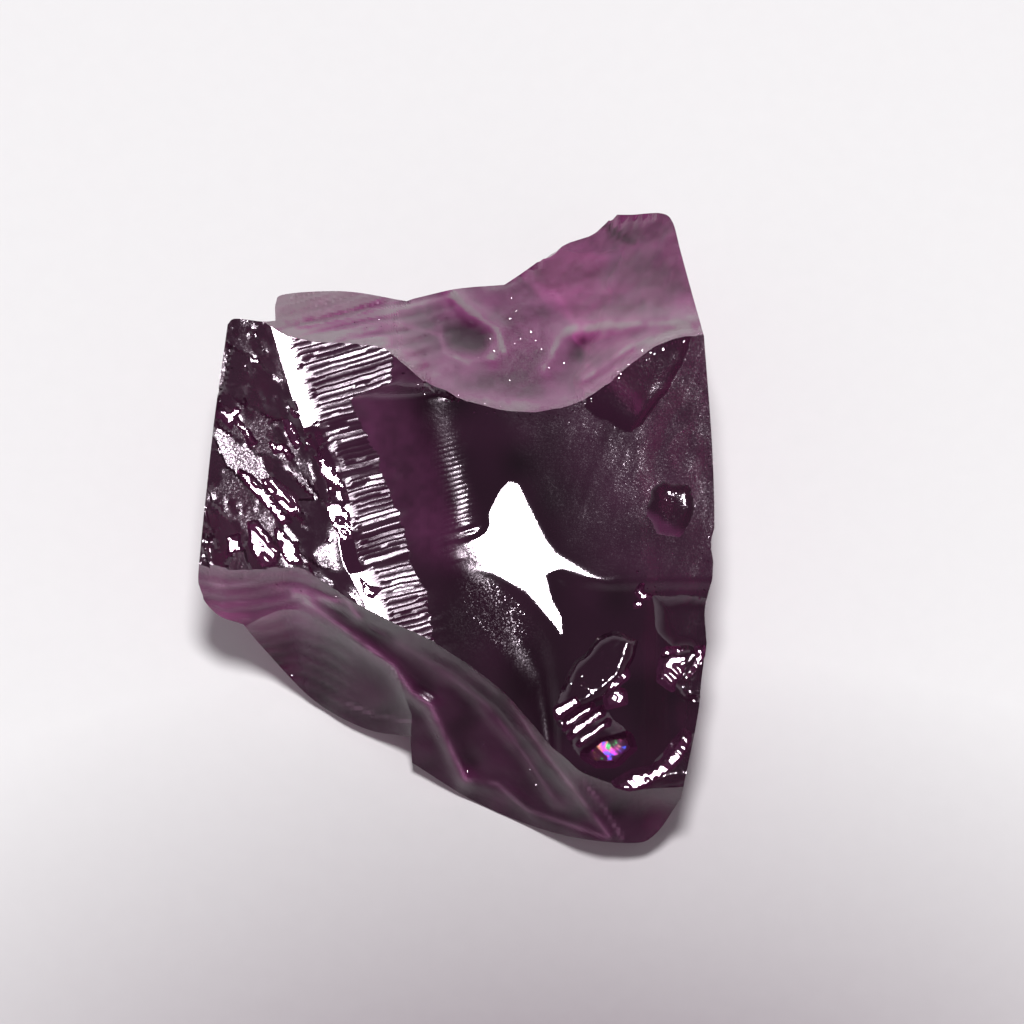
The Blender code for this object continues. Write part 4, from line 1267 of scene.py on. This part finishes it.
def shaded(tree, value, stops, interpolation="LINEAR"):
    """The colour of a value on a ramp with these stops."""
    made = tree.nodes.new("ShaderNodeValToRGB")
    ramp = made.color_ramp
    ramp.interpolation = interpolation
    for element, (position, colour) in zip(ramp.elements, (stops[0], stops[-1])):
        element.position = position
        element.color = (*colour, 1)
    for position, colour in stops[1:-1]:
        ramp.elements.new(position).color = (*colour, 1)
    tree.links.new(value, made.inputs["Fac"])
    return made.outputs["Color"]


def new_material(name):
    made = bpy.data.materials.new(name)
    made.use_nodes = True
    tree = made.node_tree
    place = node(tree, "ShaderNodeTexCoord", {}, "Object")
    return made, tree, tree.nodes["Principled BSDF"], place


def gleam_tint(tree, place):
    """Reflections are faintly violet, coloured in the flaw, and weak where the stone is dull."""
    colours = shaded(tree, speckle(tree, place, FLAW_SCALE, 0.0), FLAW_COLOURS, "CONSTANT")
    gleam = mixed(tree, carried(tree, "fire"), (*GLEAM, 1), colours)
    return mixed(tree, carried(tree, "dull"), gleam, (0, 0, 0, 1))


def inner_tint(tree, place):
    """The purple that comes back out of the stone, in soft zones."""
    zones = ranged(tree, speckle(tree, place, 260.0, 4.0, 0.6), (0.3, 0.7), ZONE_SWING)
    lit = node(tree, "ShaderNodeMath", {0: carried(tree, "glow"), 1: zones}, operation="MULTIPLY")
    return shaded(tree, lit, GLOW_TINTS)


def glittering_normal(tree, place):
    """A fine grain where the stone broke matt, and tiny mirrors at random angles where it glitters."""
    strength = multiply_add(tree, carried(tree, "frost"), GRAIN_STRENGTH, GRAIN_LEAST)
    grain = speckle(tree, place, 5200.0, 5.0)
    bumps = {"Distance": GRAIN_HEIGHT, "Height": grain, "Strength": strength}
    grained = node(tree, "ShaderNodeBump", bumps)
    cells = node(tree, "ShaderNodeTexVoronoi", {"Vector": place, "Scale": GLITTER_SCALE}, "Color")
    centred = vector_math(tree, "SUBTRACT", {0: cells, 1: (0.5, 0.5, 0.5)})
    leaning = vector_math(tree, "SCALE", {0: centred, "Scale": carried(tree, "glitter")})
    return vector_math(tree, "NORMALIZE", {0: vector_math(tree, "ADD", {0: grained, 1: leaning})})


def crystal():
    """See-through purple crystal: polished where it broke clean, hazy where it broke rough."""
    made, tree, shader, place = new_material("alexandrite_crystal")
    haze = ranged(tree, speckle(tree, place, 700.0, 4.0), (0, 1), HAZE)
    feed(tree, shader, {
        "IOR": CRYSTAL_IOR,
        "Transmission Weight": CRYSTAL_CLEAR,
        "Specular Tint": gleam_tint(tree, place),
        "Base Color": inner_tint(tree, place),
        "Roughness": multiply_add(tree, carried(tree, "frost"), haze, LEAST_ROUGH),
        "Normal": glittering_normal(tree, place),
    })
    absorbing = {"Color": (*ABSORBING_TINT, 1), "Density": ABSORBING_DENSITY}
    volume = node(tree, "ShaderNodeVolumeAbsorption", absorbing)
    feed(tree, tree.nodes["Material Output"], {"Volume": volume})
    return made


def paper():
    """Pale paper with a fine grain, and a soft shadow painted on it in front of the stone."""
    made, tree, shader, place = new_material("paper")
    centre = [-middle * rate for middle, rate in zip(PAINTED_SHADOW_MIDDLE, PAINTED_SHADOW_RATE)]
    shifted = node(tree, "ShaderNodeMapping", {"Vector": place, "Location": centre, "Scale": PAINTED_SHADOW_RATE})
    # painted shadow: the paper's colour darkens towards a point in front of the stone
    painted_shadow = node(tree, "ShaderNodeTexGradient", {"Vector": shifted}, "Fac", gradient_type="SPHERICAL")
    grain_and_painted_shadow = multiply_add(tree, speckle(tree, place, 900.0, 5.0), PAPER_GRAIN, painted_shadow)
    feed(tree, shader, {"Roughness": 0.7, "Base Color": shaded(tree, grain_and_painted_shadow, PAPER_AND_SHADOW_SHADES)})
    return made


def add_stage():
    bpy.ops.mesh.primitive_plane_add(size=FLOOR_SIZE, location=(0, 0, 0))
    floor = bpy.context.object
    floor.name = "floor"
    floor.data.materials.append(paper())


def add_lamp():
    light = bpy.data.lights.new("lamp", "AREA")
    light.shape = "DISK"
    light.size = LAMP_SIZE
    light.energy = LAMP_WATTS
    lamp = bpy.data.objects.new("lamp", light)
    lamp.location = LAMP_PLACE
    lamp.rotation_mode = "QUATERNION"
    lamp.rotation_quaternion = (Vector(LAMP_PLACE) - Vector(LAMP_TARGET)).to_track_quat("Z", "Y")
    bpy.context.scene.collection.objects.link(lamp)


def add_world():
    """A studio that is bright low down and dark overhead."""
    world = bpy.data.worlds.new("studio")
    world.use_nodes = True
    tree = world.node_tree
    direction = node(tree, "ShaderNodeTexCoord", {}, "Generated")
    height = node(tree, "ShaderNodeSeparateXYZ", {0: direction}, "Z")
    feed(tree, tree.nodes["Background"], {"Color": shaded(tree, height, STUDIO_SHADES)})
    bpy.context.scene.world = world


def add_camera():
    """Square to the table, with 19 pixels of the photograph to a millimetre."""
    camera = bpy.data.objects.new("camera", bpy.data.cameras.new("camera"))
    bpy.context.scene.collection.objects.link(camera)
    camera.matrix_world = table_frame() @ Matrix.Translation(CAMERA_PLACE)
    camera.data.lens = CAMERA_PLACE[2] / VIEW_WIDTH * SENSOR_WIDTH
    camera.data.clip_start = 0.05
    camera.data.clip_end = 10
    bpy.context.scene.camera = camera


whole = blank()
breaks = [*table_breaks(), *wall_breaks(), *hidden_breaks(), *small_breaks(), crumb_cutter()]
stone = knocked_out(whole, breaks)
stone.data.materials.clear()
stone.data.materials.append(crystal())
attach(stone, "root")
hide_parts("stone")
add_stage()
add_world()
add_lamp()
add_camera()
bpy.context.scene.view_settings.view_transform = "Standard"
